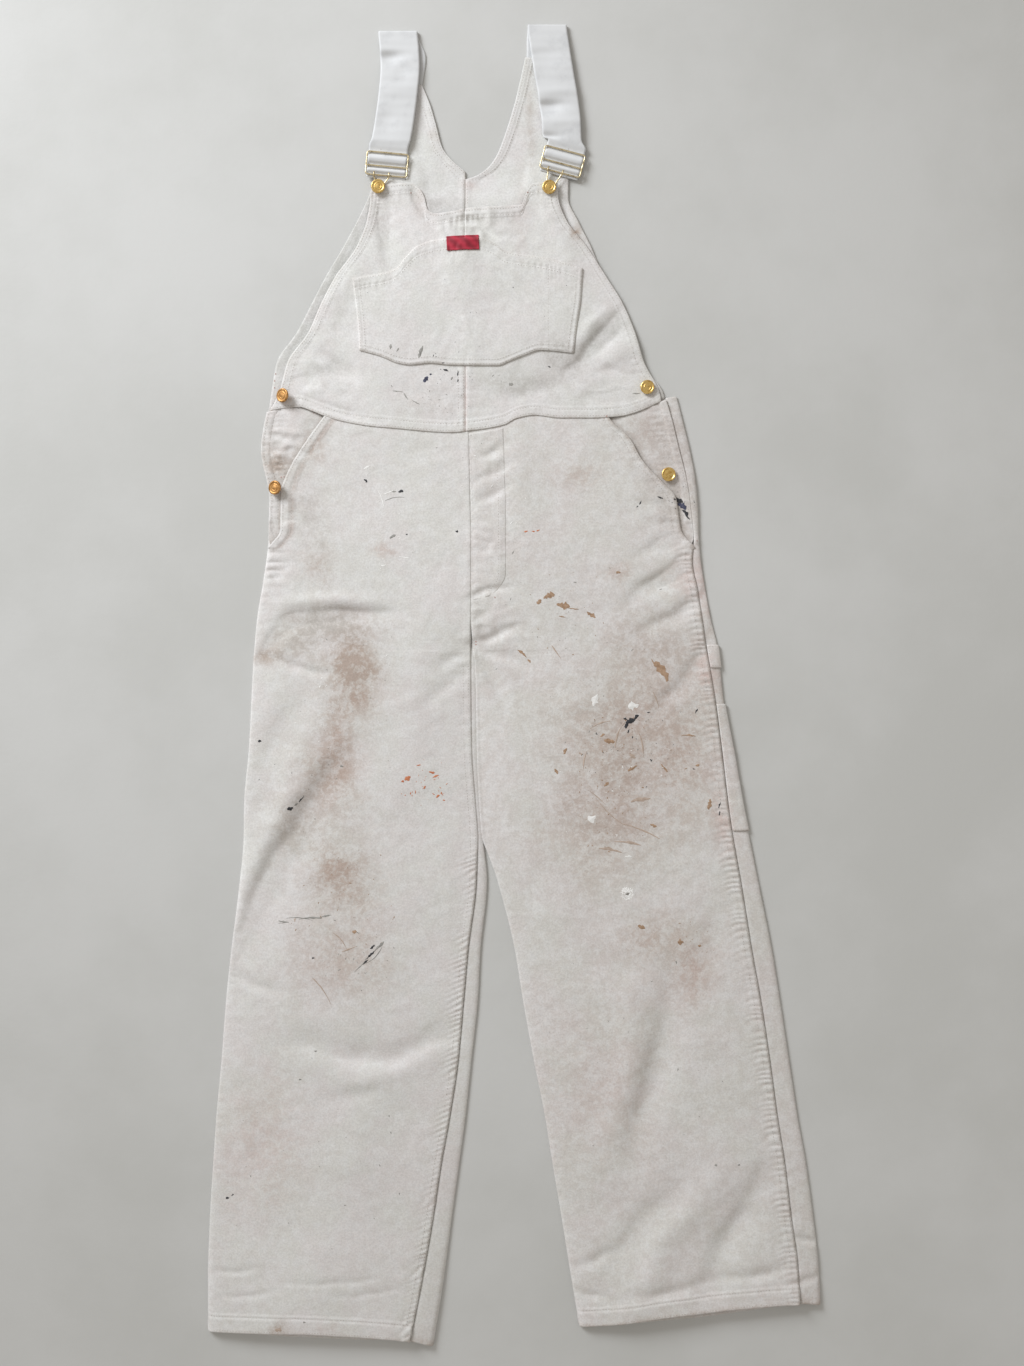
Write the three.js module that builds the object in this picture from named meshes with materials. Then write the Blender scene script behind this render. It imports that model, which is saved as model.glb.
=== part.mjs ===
// Painter's bib overalls, laid flat on their back with the front up and the straps folded over.
// Millimetres. +X runs to the right of the garment as it is seen, +Y to the shoulders, +Z up.
// The back panels lie on z = 0, and the front panels lie on them, a seam gap or a little air above.
import * as THREE from "three";
const { lerp, clamp, smoothstep, mapLinear, degToRad } = THREE.MathUtils;

// Cloth and trims
const cloth = 1.2; // cotton drill, one layer
const hemCloth = 2.4; // the same cloth turned up on itself
const webbing = 1.6; // elastic strap
const labelCloth = 0.8;
const seamGap = 0.3; // between two pieces that are sewn to each other
const foldGap = 0.8; // between front and back beside a folded edge
const slack = 2.6; // how far the front lifts off the back in the middle of a panel
const hemDepth = 19;
const hemLift = 2.4; // the double hems push front and back apart
const backPeek = 8; // the back hem shows this far below the front hem

// Levels up the garment
const waistLevel = 300;
const crotchLevel = 85;
const inseamLevel = 25; // from here down the left back panel is turned over to the front
const hemLevel = -712;
const seamHalf = seamGap / 2;
const waistEase = seamHalf + 0.3; // the two sides of the curved waist seam are cut in different facets
const inseamEase = seamHalf + 0.2; // the same for the right leg's inner seam

// One row for each section of the left leg: its outer edge, its front seam and the fold beyond it.
const leftLeg = [
  { at: "waist", y: 318, outer: -268, seam: -52, fold: -52 },
  { at: "pocket", y: 258, outer: -278, seam: -51, fold: -51 },
  { at: "side pinch", y: 205, outer: -269, seam: -50, fold: -50 },
  { at: "seat", y: 165, outer: -270, seam: -49, fold: -49 },
  { at: "crotch", y: 85, outer: -281, seam: -49, fold: -49 },
  { at: "inseam top", y: 25, outer: -287, seam: -49, fold: -40 },
  { at: "thigh", y: -70, outer: -292, seam: -48, fold: -39 },
  { at: "leg split", y: -170, outer: -298, seam: -42, fold: -35 },
  { at: "above knee", y: -210, outer: -302, seam: -41, fold: -31 },
  { at: "knee", y: -290, outer: -311, seam: -50, fold: -36 },
  { at: "calf", y: -410, outer: -322, seam: -62, fold: -47 },
  { at: "shin", y: -520, outer: -330, seam: -79, fold: -60 },
  { at: "above hem", y: -650, outer: -337, seam: -101, fold: -78 },
  { at: "hem", y: -726, outer: -337, seam: -116, fold: -89 },
];

// The right leg the same way: its inner edge, its outer seam and the fold beyond it.
const rightLeg = [
  { at: "waist", y: 318, inner: -52, seam: 165, fold: 178 },
  { at: "pocket", y: 258, inner: -51, seam: 181, fold: 193 },
  { at: "side opening", y: 205, inner: -50, seam: 192, fold: 200 },
  { at: "seat", y: 165, inner: -49, seam: 197, fold: 203 },
  { at: "crotch", y: 85, inner: -49, seam: 205, fold: 213 },
  { at: "inseam top", y: 25, inner: -40, seam: 212, fold: 223 },
  { at: "thigh", y: -70, inner: -39, seam: 227, fold: 240 },
  { at: "leg split", y: -170, inner: -33, seam: 241, fold: 259 },
  { at: "above knee", y: -215, inner: -19, seam: 249, fold: 268 },
  { at: "knee", y: -290, inner: 0, seam: 261, fold: 282 },
  { at: "calf", y: -410, inner: 21, seam: 280, fold: 302 },
  { at: "shin", y: -520, inner: 41, seam: 296, fold: 320 },
  { at: "above hem", y: -632, inner: 59, seam: 310, fold: 334 },
  { at: "hem", y: -704, inner: 71, seam: 314, fold: 338 },
];

// The bib, level by level: the front bib's two sides, and the back's sides beside or under them.
const bib = [
  { at: "waist", y: 300, left: -269, right: 163, backLeft: -270, backRight: 168 },
  { at: "side button", y: 322, left: -258, right: 159, backLeft: -267, backRight: 163 },
  { at: "side corner", y: 355, left: -249, right: 142, backLeft: -261, backRight: 138 },
  { at: "low side", y: 388, left: -226, right: 132, backLeft: -239, backRight: 127 },
  { at: "mid side", y: 417, left: -213, right: 120, backLeft: -224, backRight: 114 },
  { at: "chest", y: 448, left: -197, right: 101, backLeft: -208, backRight: 96 },
  { at: "pocket top", y: 482, left: -173, right: 79, backLeft: -188, backRight: 80 },
  { at: "high side", y: 510, left: -162, right: 57, backLeft: -173, backRight: 68 },
  { at: "button", y: 535, left: -158, right: 48, backLeft: -161, backRight: 57 },
  { at: "corner", y: 553, left: -157, right: 47, backLeft: -155, backRight: 58 },
];

// The waist seam, across the garment.
const waistLine = [
  { x: -271, y: 300 },
  { x: -236, y: 305 },
  { x: -208, y: 296 },
  { x: -159, y: 284 },
  { x: -93, y: 278 },
  { x: -49, y: 279 },
  { x: -10, y: 286 },
  { x: 22, y: 297 },
  { x: 83, y: 294 },
  { x: 138, y: 302 },
  { x: 178, y: 317 },
];

// The same seam across the back, straight from side to centre to side.
const backWaist = [
  { x: -271, y: 300 },
  { x: -52, y: 279 },
  { x: 178, y: 317 },
];

// The front bib's top edge: a corner at each button, and the hem sagging between them.
const bibTopLine = [
  { x: -158, y: 548 },
  { x: -114, y: 550 },
  { x: -98, y: 526 },
  { x: -85, y: 517 },
  { x: -54, y: 523 },
  { x: 8, y: 528 },
  { x: 21, y: 550 },
  { x: 48, y: 553 },
];

const leftHemLine = [
  { x: -338, y: -709 },
  { x: -236, y: -709 },
  { x: -181, y: -712 },
  { x: -120, y: -718 },
  { x: -89, y: -726 },
];

const rightHemLine = [
  { x: 71, y: -704 },
  { x: 160, y: -692 },
  { x: 248, y: -682 },
  { x: 314, y: -678 },
  { x: 338, y: -681 },
];

// The edge of each front leg panel beside its slash pocket and side opening, from the waist down.
const leftMouth = [
  { y: 305, x: -202 },
  { y: 231, x: -250 },
  { y: 212, x: -256 },
  { y: 170, x: -257 },
  { y: 150, x: -271 },
];

const rightMouth = [
  { y: 305, x: 96 },
  { y: 270, x: 127 },
  { y: 250, x: 138 },
  { y: 225, x: 160 },
  { y: 205, x: 177 },
  { y: 170, x: 183 },
  { y: 150, x: 199 },
];
const mouthFoot = 150; // below this the front panel reaches its side seam
const hipFoot = 160; // the hip piece ends here, under the front panel
const hipLap = 16; // how far it runs under the pocket's mouth
const hipTop = cloth + seamGap + cloth; // its face above the floor
const mouthLift = 0.4; // the mouth's hem stands a little open
const placketWidth = 11;
const placketFoot = 176;

// The bib pocket's curved top and its foot.
const pocketTopLine = [
  { x: -179, y: 446 },
  { x: -142, y: 453 },
  { x: -120, y: 470 },
  { x: -100, y: 486 },
  { x: -78, y: 492 },
  { x: -58, y: 493 },
  { x: -36, y: 492 },
  { x: -10, y: 476 },
  { x: 28, y: 470 },
  { x: 75, y: 457 },
];

const pocketFootLine = [
  { x: -170, y: 367 },
  { x: -128, y: 353 },
  { x: -93, y: 351 },
  { x: -19, y: 350 },
  { x: 12, y: 362 },
  { x: 65, y: 364 },
];

const pocketLeftSide = [
  { y: 446, x: -179 },
  { y: 367, x: -170 },
];

const pocketRightSide = [
  { y: 457, x: 75 },
  { y: 424, x: 73 },
  { y: 364, x: 65 },
];
const pocketCorner = {
  topLeft: pocketLeftSide[0],
  footLeft: pocketLeftSide[1],
  topRight: pocketRightSide[0],
  footRight: pocketRightSide[2],
};

// The V of the back: the inner edge of each arm, from the strap down to the foot of the V.
const leftArm = [
  { y: 660, x: -102 },
  { y: 638, x: -93 },
  { y: 592, x: -80 },
  { y: 574, x: -66 },
  { y: 557, x: -50 },
];

const rightArm = [
  { y: 690, x: 13 },
  { y: 671, x: 8 },
  { y: 638, x: 0 },
  { y: 600, x: -12 },
  { y: 574, x: -28 },
  { y: 557, x: -49 },
];

// The outer edges of the arms, above the bib.
const armOuterLeft = [
  { y: 660, backLeft: -144 },
  { y: 600, backLeft: -148 },
];
const armOuterRight = [
  { y: 690, backRight: 57 },
  { y: 630, backRight: 63 },
];
const vFoot = 557;
const bibCentre = -54; // the centre seam of bib and back

// Long folds and lifts of the front, a row each: its two ends, its half width and its height.
const folds = [
  { at: "bib, right side", x0: 116, y0: 396, x1: 67, y1: 344, reach: 16, height: -1.1 },
  { at: "bib, left side", x0: -186, y0: 357, x1: -214, y1: 344, reach: 14, height: -0.8 },
  { at: "bib, middle", x0: -60, y0: 470, x1: -70, y1: 400, reach: 30, height: 0.5 },
  { at: "left thigh", x0: -236, y0: 80, x1: -170, y1: 55, reach: 20, height: -0.9 },
  { at: "left knee", x0: -197, y0: -104, x1: -285, y1: -258, reach: 22, height: -1.0 },
  { at: "left calf", x0: -214, y0: -402, x1: -93, y1: -390, reach: 24, height: -0.9 },
  { at: "right shin", x0: 160, y0: -346, x1: 138, y1: -478, reach: 20, height: -1.0 },
  { at: "right shin ridge", x0: 204, y0: -566, x1: 138, y1: -665, reach: 22, height: 0.7 },
  { at: "right hem", x0: 259, y0: -566, x1: 220, y1: -643, reach: 20, height: -0.9 },
  { at: "right thigh", x0: 193, y0: 137, x1: 138, y1: 104, reach: 18, height: -0.7 },
];

// Straps: the back run from the arm to the shoulder fold, and the front run to the slide.
const strapWidth = 42;
const strapFoldGap = 0.8;
const straps = [
  {
    side: "left",
    foldY: 719,
    foldX: -128,
    backRun: [
      { y: 660, x: -123 },
      { y: 690, x: -119 },
    ],
    frontRun: [
      { y: 700, x: -126, top: 4.6, turn: -2 },
      { y: 672, x: -126, top: 4.2, turn: 2 },
      { y: 640, x: -129, top: 5.4, turn: 1 },
      { y: 610, x: -134, top: 6.2, turn: -3 },
    ],
    slide: { x: -140, y: 571, turn: -5.4 },
    button: { x: -149.6, y: 546.7 },
  },
  {
    side: "right",
    foldY: 726,
    foldX: 36,
    backRun: [
      { y: 690, x: 35 },
      { y: 706, x: 35 },
    ],
    frontRun: [
      { y: 700, x: 39, top: 4.6, turn: 2 },
      { y: 668, x: 44, top: 5.4, turn: 4 },
      { y: 645, x: 47, top: 4.6, turn: 1 },
      { y: 616, x: 51, top: 5.8, turn: -8 },
    ],
    slide: { x: 52.5, y: 574, turn: -15 },
    button: { x: 38, y: 545.6 },
  },
];

// The strap inside its slide: it rises between the bars and dips under them.
const slideBars = { top: 13, middle: -2, bottom: -12 };
const slideBar = 2; // thickness and width of each bar
const slideWide = 46.8;
const underBar = 4.2; // the webbing's face where it passes a bar
const strapInSlide = [
  { along: 20, top: 5.4 },
  { along: 15.5, top: underBar },
  { along: 11, top: underBar },
  { along: 8.5, top: 5.6 },
  { along: 5.5, top: 6.4 },
  { along: 2.5, top: 5.6 },
  { along: 0, top: underBar },
  { along: -4, top: underBar },
  { along: -5.6, top: 5.2 },
  { along: -7, top: 5.6 },
  { along: -8.4, top: 5.2 },
  { along: -10, top: underBar },
  { along: -14.5, top: underBar },
];

// Hook wire and buttons
const hookWire = 1; // wire radius
const hookEyes = [-13, 3.5]; // where the two ends hang on the slide's lowest bar
const buttonRadius = 7.8;
const shankRadius = 2.6;
const sideButtons = [
  { name: "button_side_left_upper", x: -251, y: 317, lean: -28, shank: 5.2 },
  { name: "button_side_left_lower", x: -260, y: 216, lean: -24, shank: 4.6 },
  { name: "button_side_right_upper", x: 145.7, y: 326.7, lean: 0, shank: 1.6 },
  { name: "button_side_right_lower", x: 169, y: 231, lean: 0, shank: 2.4 },
];

// Smooth reading of one column of a table against another, with no overshoot between rows.
function through(rows, from, to) {
  const sorted = [...rows].sort((a, b) => a[from] - b[from]);
  const at = sorted.map((row) => row[from]);
  const value = sorted.map((row) => row[to]);
  const slopes = at.slice(1).map((a, i) => (value[i + 1] - value[i]) / (a - at[i]));
  const tangents = at.map((_, i) => {
    const before = slopes[i - 1] ?? slopes[i];
    const after = slopes[i] ?? slopes[i - 1];
    return before * after <= 0 ? 0 : (2 * before * after) / (before + after);
  });
  return (a) => {
    const inside = clamp(a, at[0], at[at.length - 1]);
    const i = Math.min(Math.max(at.findIndex((edge) => edge >= inside) - 1, 0), at.length - 2);
    const span = at[i + 1] - at[i];
    const t = (inside - at[i]) / span;
    const s = 1 - t;
    return (
      value[i] * s * s * (1 + 2 * t) +
      value[i + 1] * t * t * (3 - 2 * t) +
      tangents[i] * span * s * s * t -
      tangents[i + 1] * span * t * t * s
    );
  };
}

const leftOuter = through(leftLeg, "y", "outer");
const leftSeam = through(leftLeg, "y", "seam");
const leftFold = through(leftLeg, "y", "fold");
const rightInner = through(rightLeg, "y", "inner");
const rightSeam = through(rightLeg, "y", "seam");
const rightFold = through(rightLeg, "y", "fold");
const bibLeft = through(bib, "y", "left");
const bibRight = through(bib, "y", "right");
const backLeft = through([...bib, ...armOuterLeft], "y", "backLeft");
const backRight = through([...bib, ...armOuterRight], "y", "backRight");
const waistAt = through(waistLine, "x", "y");
const backWaistAt = (x) =>
  x < backWaist[1].x
    ? mapLinear(x, backWaist[0].x, backWaist[1].x, backWaist[0].y, backWaist[1].y)
    : mapLinear(x, backWaist[1].x, backWaist[2].x, backWaist[1].y, backWaist[2].y);
const bibTopAt = through(bibTopLine, "x", "y");
const leftHemAt = through(leftHemLine, "x", "y");
const rightHemAt = through(rightHemLine, "x", "y");
const leftMouthAt = through(leftMouth, "y", "x");
const rightMouthAt = through(rightMouth, "y", "x");

// How a fold lifts or lowers the front at a point of the plan, fading out past its ends.
function foldHeight(fold, x, y) {
  const along = new THREE.Vector2(fold.x1 - fold.x0, fold.y1 - fold.y0);
  const length = along.length();
  along.normalize();
  const offset = new THREE.Vector2(x - fold.x0, y - fold.y0);
  const run = offset.dot(along);
  const beyond = Math.max(-run, run - length, 0);
  const aside = offset.cross(along);
  return fold.height * Math.exp(-(aside * aside + beyond * beyond) / (fold.reach * fold.reach));
}

// The arch of loose cloth between two edges, from 0 at an edge to 1 in the middle.
function arch(across) {
  return Math.pow(Math.sin(Math.PI * clamp(across, 0, 1)), 0.6);
}

// How far a point of the front lies over a hip piece, from 0 to 1.
function overHip(x, y) {
  const aside = Math.min(Math.abs(x - leftMouthAt(y)), Math.abs(x - rightMouthAt(y)));
  const beside = 1 - smoothstep(aside, hipLap + 12, hipLap + 60);
  const aboveFoot = smoothstep(y, hipFoot - 60, hipFoot - 12);
  const belowWaist = 1 - smoothstep(y, waistLevel + 20, waistLevel + 60);
  return beside * aboveFoot * belowWaist;
}

// Height of the front layer's underside at a point of the plan.
function frontUnderside(x, y) {
  const left = y > waistLevel ? backLeft(y) : leftOuter(y);
  const right = y > waistLevel ? backRight(y) : rightFold(y);
  const across = (x - left) / (right - left);
  const middle = (leftFold(y) + rightInner(y)) / 2;
  const inLeftLeg = (x - left) / (leftFold(y) - left);
  const inRightLeg = (x - rightInner(y)) / (right - rightInner(y));
  const inLeg = x < middle ? inLeftLeg : inRightLeg;
  const legs = 1 - smoothstep(y, inseamLevel - 60, crotchLevel + 25);
  const nearHem = 1 - smoothstep(y, hemLevel + 25, hemLevel + 110);
  const toFold = clamp(legs > 0.5 ? inLeg : across, 0, 1);
  const rest = cloth + lerp(seamGap, foldGap, toFold) + hemLift * nearHem;
  const air = slack * lerp(arch(across), arch(inLeg), legs);
  const loose = folds.reduce((sum, fold) => sum + foldHeight(fold, x, y), rest + air);
  return Math.max(loose, (hipTop + seamGap + mouthLift) * overHip(x, y));
}

// A closed wall: the grid is its outer face, and its inner face lies a thickness behind it.
// The grid's rows run so that a column step crossed with a row step points out of the cloth.
function wall(face, thickness) {
  const rows = face.length;
  const columns = face[0].length;
  const thick = typeof thickness === "number" ? face.map(() => thickness) : thickness;
  const normalAt = (i, j) => {
    const across = face[i][Math.min(j + 1, columns - 1)].clone().sub(face[i][Math.max(j - 1, 0)]);
    const down = face[Math.min(i + 1, rows - 1)][j].clone().sub(face[Math.max(i - 1, 0)][j]);
    return across.cross(down).normalize();
  };
  const outer = face.flat();
  const behindAt = (p, i, j) => p.clone().addScaledVector(normalAt(i, j), -thick[i]);
  const inner = face.flatMap((row, i) => row.map((p, j) => behindAt(p, i, j)));
  const index = [];
  const at = (i, j) => i * columns + j;
  const behind = outer.length;
  for (let i = 0; i < rows - 1; i++) {
    for (let j = 0; j < columns - 1; j++) {
      const [a, b, c, d] = [at(i, j), at(i, j + 1), at(i + 1, j), at(i + 1, j + 1)];
      index.push(a, b, c, b, d, c);
      index.push(behind + a, behind + c, behind + b, behind + b, behind + c, behind + d);
    }
  }
  const rim = (a, b) => index.push(a, behind + a, b, b, behind + a, behind + b);
  for (let j = 0; j < columns - 1; j++) {
    rim(at(0, j), at(0, j + 1));
    rim(at(rows - 1, j + 1), at(rows - 1, j));
  }
  for (let i = 0; i < rows - 1; i++) {
    rim(at(i + 1, 0), at(i, 0));
    rim(at(i, columns - 1), at(i + 1, columns - 1));
  }
  const geometry = new THREE.BufferGeometry();
  geometry.setAttribute(
    "position",
    new THREE.Float32BufferAttribute([...outer, ...inner].flatMap((p) => p.toArray()), 3),
  );
  geometry.setIndex(index);
  geometry.computeVertexNormals();
  return geometry;
}

// Height of a face above a point of the plan, on the facet of the wall that lies there.
function heightOn(faces, x, y) {
  let highest = -Infinity;
  const tryFacet = (a, b, c) => {
    const area = (b.x - a.x) * (c.y - a.y) - (c.x - a.x) * (b.y - a.y);
    const wb = ((x - a.x) * (c.y - a.y) - (c.x - a.x) * (y - a.y)) / area;
    const wc = ((b.x - a.x) * (y - a.y) - (x - a.x) * (b.y - a.y)) / area;
    const slip = -1e-6;
    if (wb >= slip && wc >= slip && wb + wc <= 1 - slip) {
      highest = Math.max(highest, a.z + wb * (b.z - a.z) + wc * (c.z - a.z));
    }
  };
  for (const face of faces) {
    for (let i = 0; i < face.length - 1; i++) {
      for (let j = 0; j < face[0].length - 1; j++) {
        tryFacet(face[i][j], face[i][j + 1], face[i + 1][j]);
        tryFacet(face[i][j + 1], face[i + 1][j + 1], face[i + 1][j]);
      }
    }
  }
  return highest === -Infinity ? frontUnderside(x, y) + cloth : highest;
}

const steps = (count) => Array.from({ length: count + 1 }, (_, i) => i / count);

// The levels at which the legs' sections stand, closer together at the crotch and at the hem.
const upperLevels = steps(6).map((t) => lerp(waistLevel, crotchLevel + 30, t));
const crotchLevels = [crotchLevel, crotchLevel - 20, crotchLevel - 40, inseamLevel];
const lowerLevels = steps(17).slice(1).map((t) => lerp(inseamLevel, hemLevel + hemDepth + 0.5, t));
const hemLevels = [hemLevel + hemDepth, hemLevel];
const legLevels = [...upperLevels, ...crotchLevels, ...lowerLevels, ...hemLevels];
const legThickness = legLevels.map((y) => (y <= hemLevel + hemDepth ? hemCloth : cloth));

// The true height of a section's point: level in the leg, bent to the waist seam and to the hem.
function bent(level, x, hemAt, peek = 0, waist = waistAt) {
  const toWaist = smoothstep(level, waistLevel - 110, waistLevel);
  const toHem = 1 - smoothstep(level, hemLevel, hemLevel + 212);
  const waistBend = (waist(x) - waistLevel) * toWaist;
  const straight = level + waistBend + (hemAt(x) - peek - hemLevel) * toHem;
  return level === waistLevel ? straight - waistEase : straight;
}

// A front panel between two edges that are read at each level.
function frontPanel(levels, leftEdge, rightEdge, hemAt, across, faceAt) {
  return levels.map((level) => {
    const onEdge = (edge) => edge(bent(level, edge(level), hemAt));
    const row = steps(across).map((u) => {
      const x = lerp(onEdge(leftEdge), onEdge(rightEdge), u);
      const y = bent(level, x, hemAt);
      return new THREE.Vector3(x, y, faceAt(x, y));
    });
    return row.reverse();
  });
}
const onFront = (x, y) => frontUnderside(x, y) + cloth;

// A back panel's section: flat on the floor to the fold, round it, and over the front to its seam.
// turned runs from 0, where the whole section lies flat, to 1, where the fold is closed.
const flatFractions = [0, 0.5, 1];
const foldAngles = [-60, -30, 0, 30, 60, 90].map(degToRad);
const turnFractions = [0.5, 1];
const turnEase = 0.15;
const flatMargin = 14; // the width that the turned part takes where it still lies flat

function backSection(level, edges, hemAt, turned) {
  const onEdge = (edge) => edge(bent(level, edge(level), hemAt));
  const [outer, fold, seam] = [edges.outer, edges.fold, edges.seam].map(onEdge);
  const top = onFront(fold, bent(level, fold, hemAt));
  const radius = top / 2;
  const points = [];
  const add = (flatX, foldedX, foldedZ) => points.push({ flatX, foldedX, foldedZ });
  flatFractions.forEach((u) => add(lerp(outer, fold - flatMargin, u), lerp(outer, fold - radius, u), 0));
  foldAngles.forEach((angle, i) => {
    const flatX = fold - flatMargin + ((i + 1) / (foldAngles.length + 2)) * (flatMargin - seamHalf);
    add(flatX, fold - radius + radius * Math.cos(angle), radius + radius * Math.sin(angle));
  });
  turnFractions.forEach((u, i) => {
    const x = lerp(fold - radius, seam + seamHalf + turnEase, u);
    const flatX = fold - flatMargin + ((i + 7) / (foldAngles.length + 2)) * (flatMargin - seamHalf);
    add(flatX, x, onFront(x, bent(level, x, hemAt)));
  });
  return points.map(({ flatX, foldedX, foldedZ }, i) => {
    const x = lerp(flatX, foldedX, turned);
    const peek = i < flatFractions.length ? Math.sin((Math.PI * (i + 0.001)) / 2) * backPeek : 0;
    return new THREE.Vector3(x, bent(level, x, hemAt, peek, backWaistAt), foldedZ * turned);
  });
}

const leftTurned = (level) => 1 - smoothstep(level, inseamLevel, crotchLevel);
const leftBackEdges = { outer: leftOuter, fold: (y) => leftFold(y) - seamHalf, seam: leftSeam };
const frontRightInner = (y) => rightInner(y) + inseamEase;
const rightBackEdges = { outer: frontRightInner, fold: rightFold, seam: rightSeam };

// A four-sided cut filled with rows of points, from its top, bottom, left and right edges.
function fillCut(top, bottom, left, right, faceAt) {
  const lastRow = left.length - 1;
  const lastColumn = top.length - 1;
  return left.map((_, i) => {
    const v = i / lastRow;
    const row = top.map((__, j) => {
      const u = j / lastColumn;
      const blend = (k) =>
        lerp(top[j][k], bottom[j][k], v) +
        lerp(left[i][k], right[i][k], u) -
        lerp(lerp(top[0][k], top[lastColumn][k], u), lerp(bottom[0][k], bottom[lastColumn][k], u), v);
      const [x, y] = [blend("x"), blend("y")];
      return new THREE.Vector3(x, y, faceAt(x, y));
    });
    return row.reverse();
  });
}
const acrossLine = (lineAt, from, to, count, lift = 0) =>
  steps(count).map((u) => {
    const x = lerp(from, to, u);
    return { x, y: lineAt(x) + lift };
  });
const downLine = (edgeAt, from, to, count) =>
  steps(count).map((v) => {
    const y = lerp(from, to, v);
    return { x: edgeAt(y), y };
  });

const material = (color, roughness, metalness = 0) =>
  new THREE.MeshStandardMaterial({ color, roughness, metalness, side: THREE.DoubleSide });
const drill = material(0xdcd9d2, 0.95);
const drillWorn = material(0xd2ccc3, 0.95);
const elastic = material(0xe4e4e2, 0.85);
const redTwill = material(0x9c1f33, 0.8);
const goldTone = material(0xb8924e, 0.35, 1);
const brassWire = material(0xa99468, 0.35, 1);

const overalls = new THREE.Group();
function addPiece(name, geometry, finish) {
  const mesh = new THREE.Mesh(geometry, finish);
  mesh.name = name;
  overalls.add(mesh);
  return mesh;
}

// Legs
const frontLeftEdge = (y) => (y > mouthFoot ? leftMouthAt(y) : leftOuter(y));
const frontRightEdge = (y) => (y > mouthFoot ? rightMouthAt(y) : rightSeam(y) - seamHalf);
const frontLeftSeam = (y) => leftSeam(y) - seamHalf;
const legAcross = 10;
const frontLegLeft = frontPanel(legLevels, frontLeftEdge, frontLeftSeam, leftHemAt, legAcross, onFront);
const frontLegRight = frontPanel(legLevels, frontRightInner, frontRightEdge, rightHemAt, legAcross, onFront);
const leftSection = (level) => backSection(level, leftBackEdges, leftHemAt, leftTurned(level));
const backLegLeft = legLevels.map(leftSection);
const backLegRight = legLevels.map((level) => backSection(level, rightBackEdges, rightHemAt, 1));
addPiece("front_leg_left", wall(frontLegLeft, legThickness), drillWorn);
addPiece("front_leg_right", wall(frontLegRight, legThickness), drillWorn);
addPiece("back_leg_left", wall(backLegLeft, legThickness), drill);
addPiece("back_leg_right", wall(backLegRight, legThickness), drill);

// Hip pieces, which show beside the slash pockets, and the side plackets on them
const hipLevels = steps(5).map((t) => lerp(waistLevel, hipFoot, t));
const hipAcross = 3;
const hipFace = () => hipTop;
const hipInner = (y) => leftMouthAt(y) + hipLap;
const hipLeft = frontPanel(hipLevels, leftOuter, hipInner, leftHemAt, hipAcross, hipFace);
const hipRight = frontPanel(
  hipLevels,
  (y) => rightMouthAt(y) - hipLap,
  (y) => rightSeam(y) - seamHalf,
  rightHemAt,
  hipAcross,
  hipFace,
);
addPiece("hip_left", wall(hipLeft, cloth), drill);
addPiece("hip_right", wall(hipRight, cloth), drill);
const onHip = (x, y) => heightOn([hipLeft, hipRight], x, y) + seamGap + cloth;
const placketLevels = steps(4).map((t) => lerp(waistLevel, placketFoot, t));
const placketLeft = frontPanel(
  placketLevels,
  leftOuter,
  (y) => leftOuter(y) + placketWidth,
  leftHemAt,
  1,
  onHip,
);
const placketRight = frontPanel(
  placketLevels,
  (y) => rightSeam(y) - placketWidth,
  (y) => rightSeam(y) - seamHalf,
  rightHemAt,
  1,
  onHip,
);
addPiece("side_placket_left", wall(placketLeft, cloth), drill);
addPiece("side_placket_right", wall(placketRight, cloth), drill);

// Fly, on the right front panel, with a rounded foot
const flyWidth = 38;
const flyTop = 276;
const flyFoot = 96;
const flySeam = 3; // how far its top stands below the waist seam
const flyAcross = 4;
const flyDown = 9;
const flyLeft = (y) => rightInner(y) + 1.5;
const flyRight = (y) => flyLeft(y) + flyWidth * Math.sqrt(smoothstep(y, flyFoot - 12, flyFoot + 26));
const flyBottom = (x) => flyFoot - 4 + 0.25 * (x - rightInner(flyFoot));
const onLegs = (x, y) => heightOn([frontLegLeft, frontLegRight], x, y) + seamGap + cloth;
const belowWaist = (x) => waistAt(x) - flySeam;
const fly = fillCut(
  acrossLine(belowWaist, flyLeft(flyTop), flyRight(flyTop), flyAcross),
  acrossLine(flyBottom, flyLeft(flyFoot), flyRight(flyFoot), flyAcross),
  downLine(flyLeft, flyTop, flyBottom(flyLeft(flyFoot)), flyDown),
  downLine(flyRight, belowWaist(flyRight(flyTop)), flyBottom(flyRight(flyFoot)), flyDown),
  onLegs,
);
addPiece("fly_placket", wall(fly, cloth), drill);

// Bib, in two halves that meet at the centre seam
const bibAcross = 12;
const bibDown = 9;
const bibCorner = { left: -157, right: 47 };
const bibHalf = (from, to, topFrom, topTo, leftEdge, rightEdge) =>
  fillCut(
    acrossLine(bibTopAt, topFrom, topTo, bibAcross),
    acrossLine(waistAt, from, to, bibAcross, waistEase),
    downLine(leftEdge, bibTopAt(topFrom), waistAt(from) + waistEase, bibDown),
    downLine(rightEdge, bibTopAt(topTo), waistAt(to) + waistEase, bibDown),
    onFront,
  );
const centreLeft = bibCentre - seamHalf;
const centreRight = bibCentre + seamHalf;
const toLeft = () => centreLeft;
const toRight = () => centreRight;
const footLeft = bibLeft(waistLevel);
const footRight = bibRight(waistLevel);
const bibFrontLeft = bibHalf(footLeft, centreLeft, bibCorner.left, centreLeft, bibLeft, toLeft);
const bibFrontRight = bibHalf(centreRight, footRight, centreRight, bibCorner.right, toRight, bibRight);
addPiece("bib_front_left", wall(bibFrontLeft, cloth), drill);
addPiece("bib_front_right", wall(bibFrontRight, cloth), drill);

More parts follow.
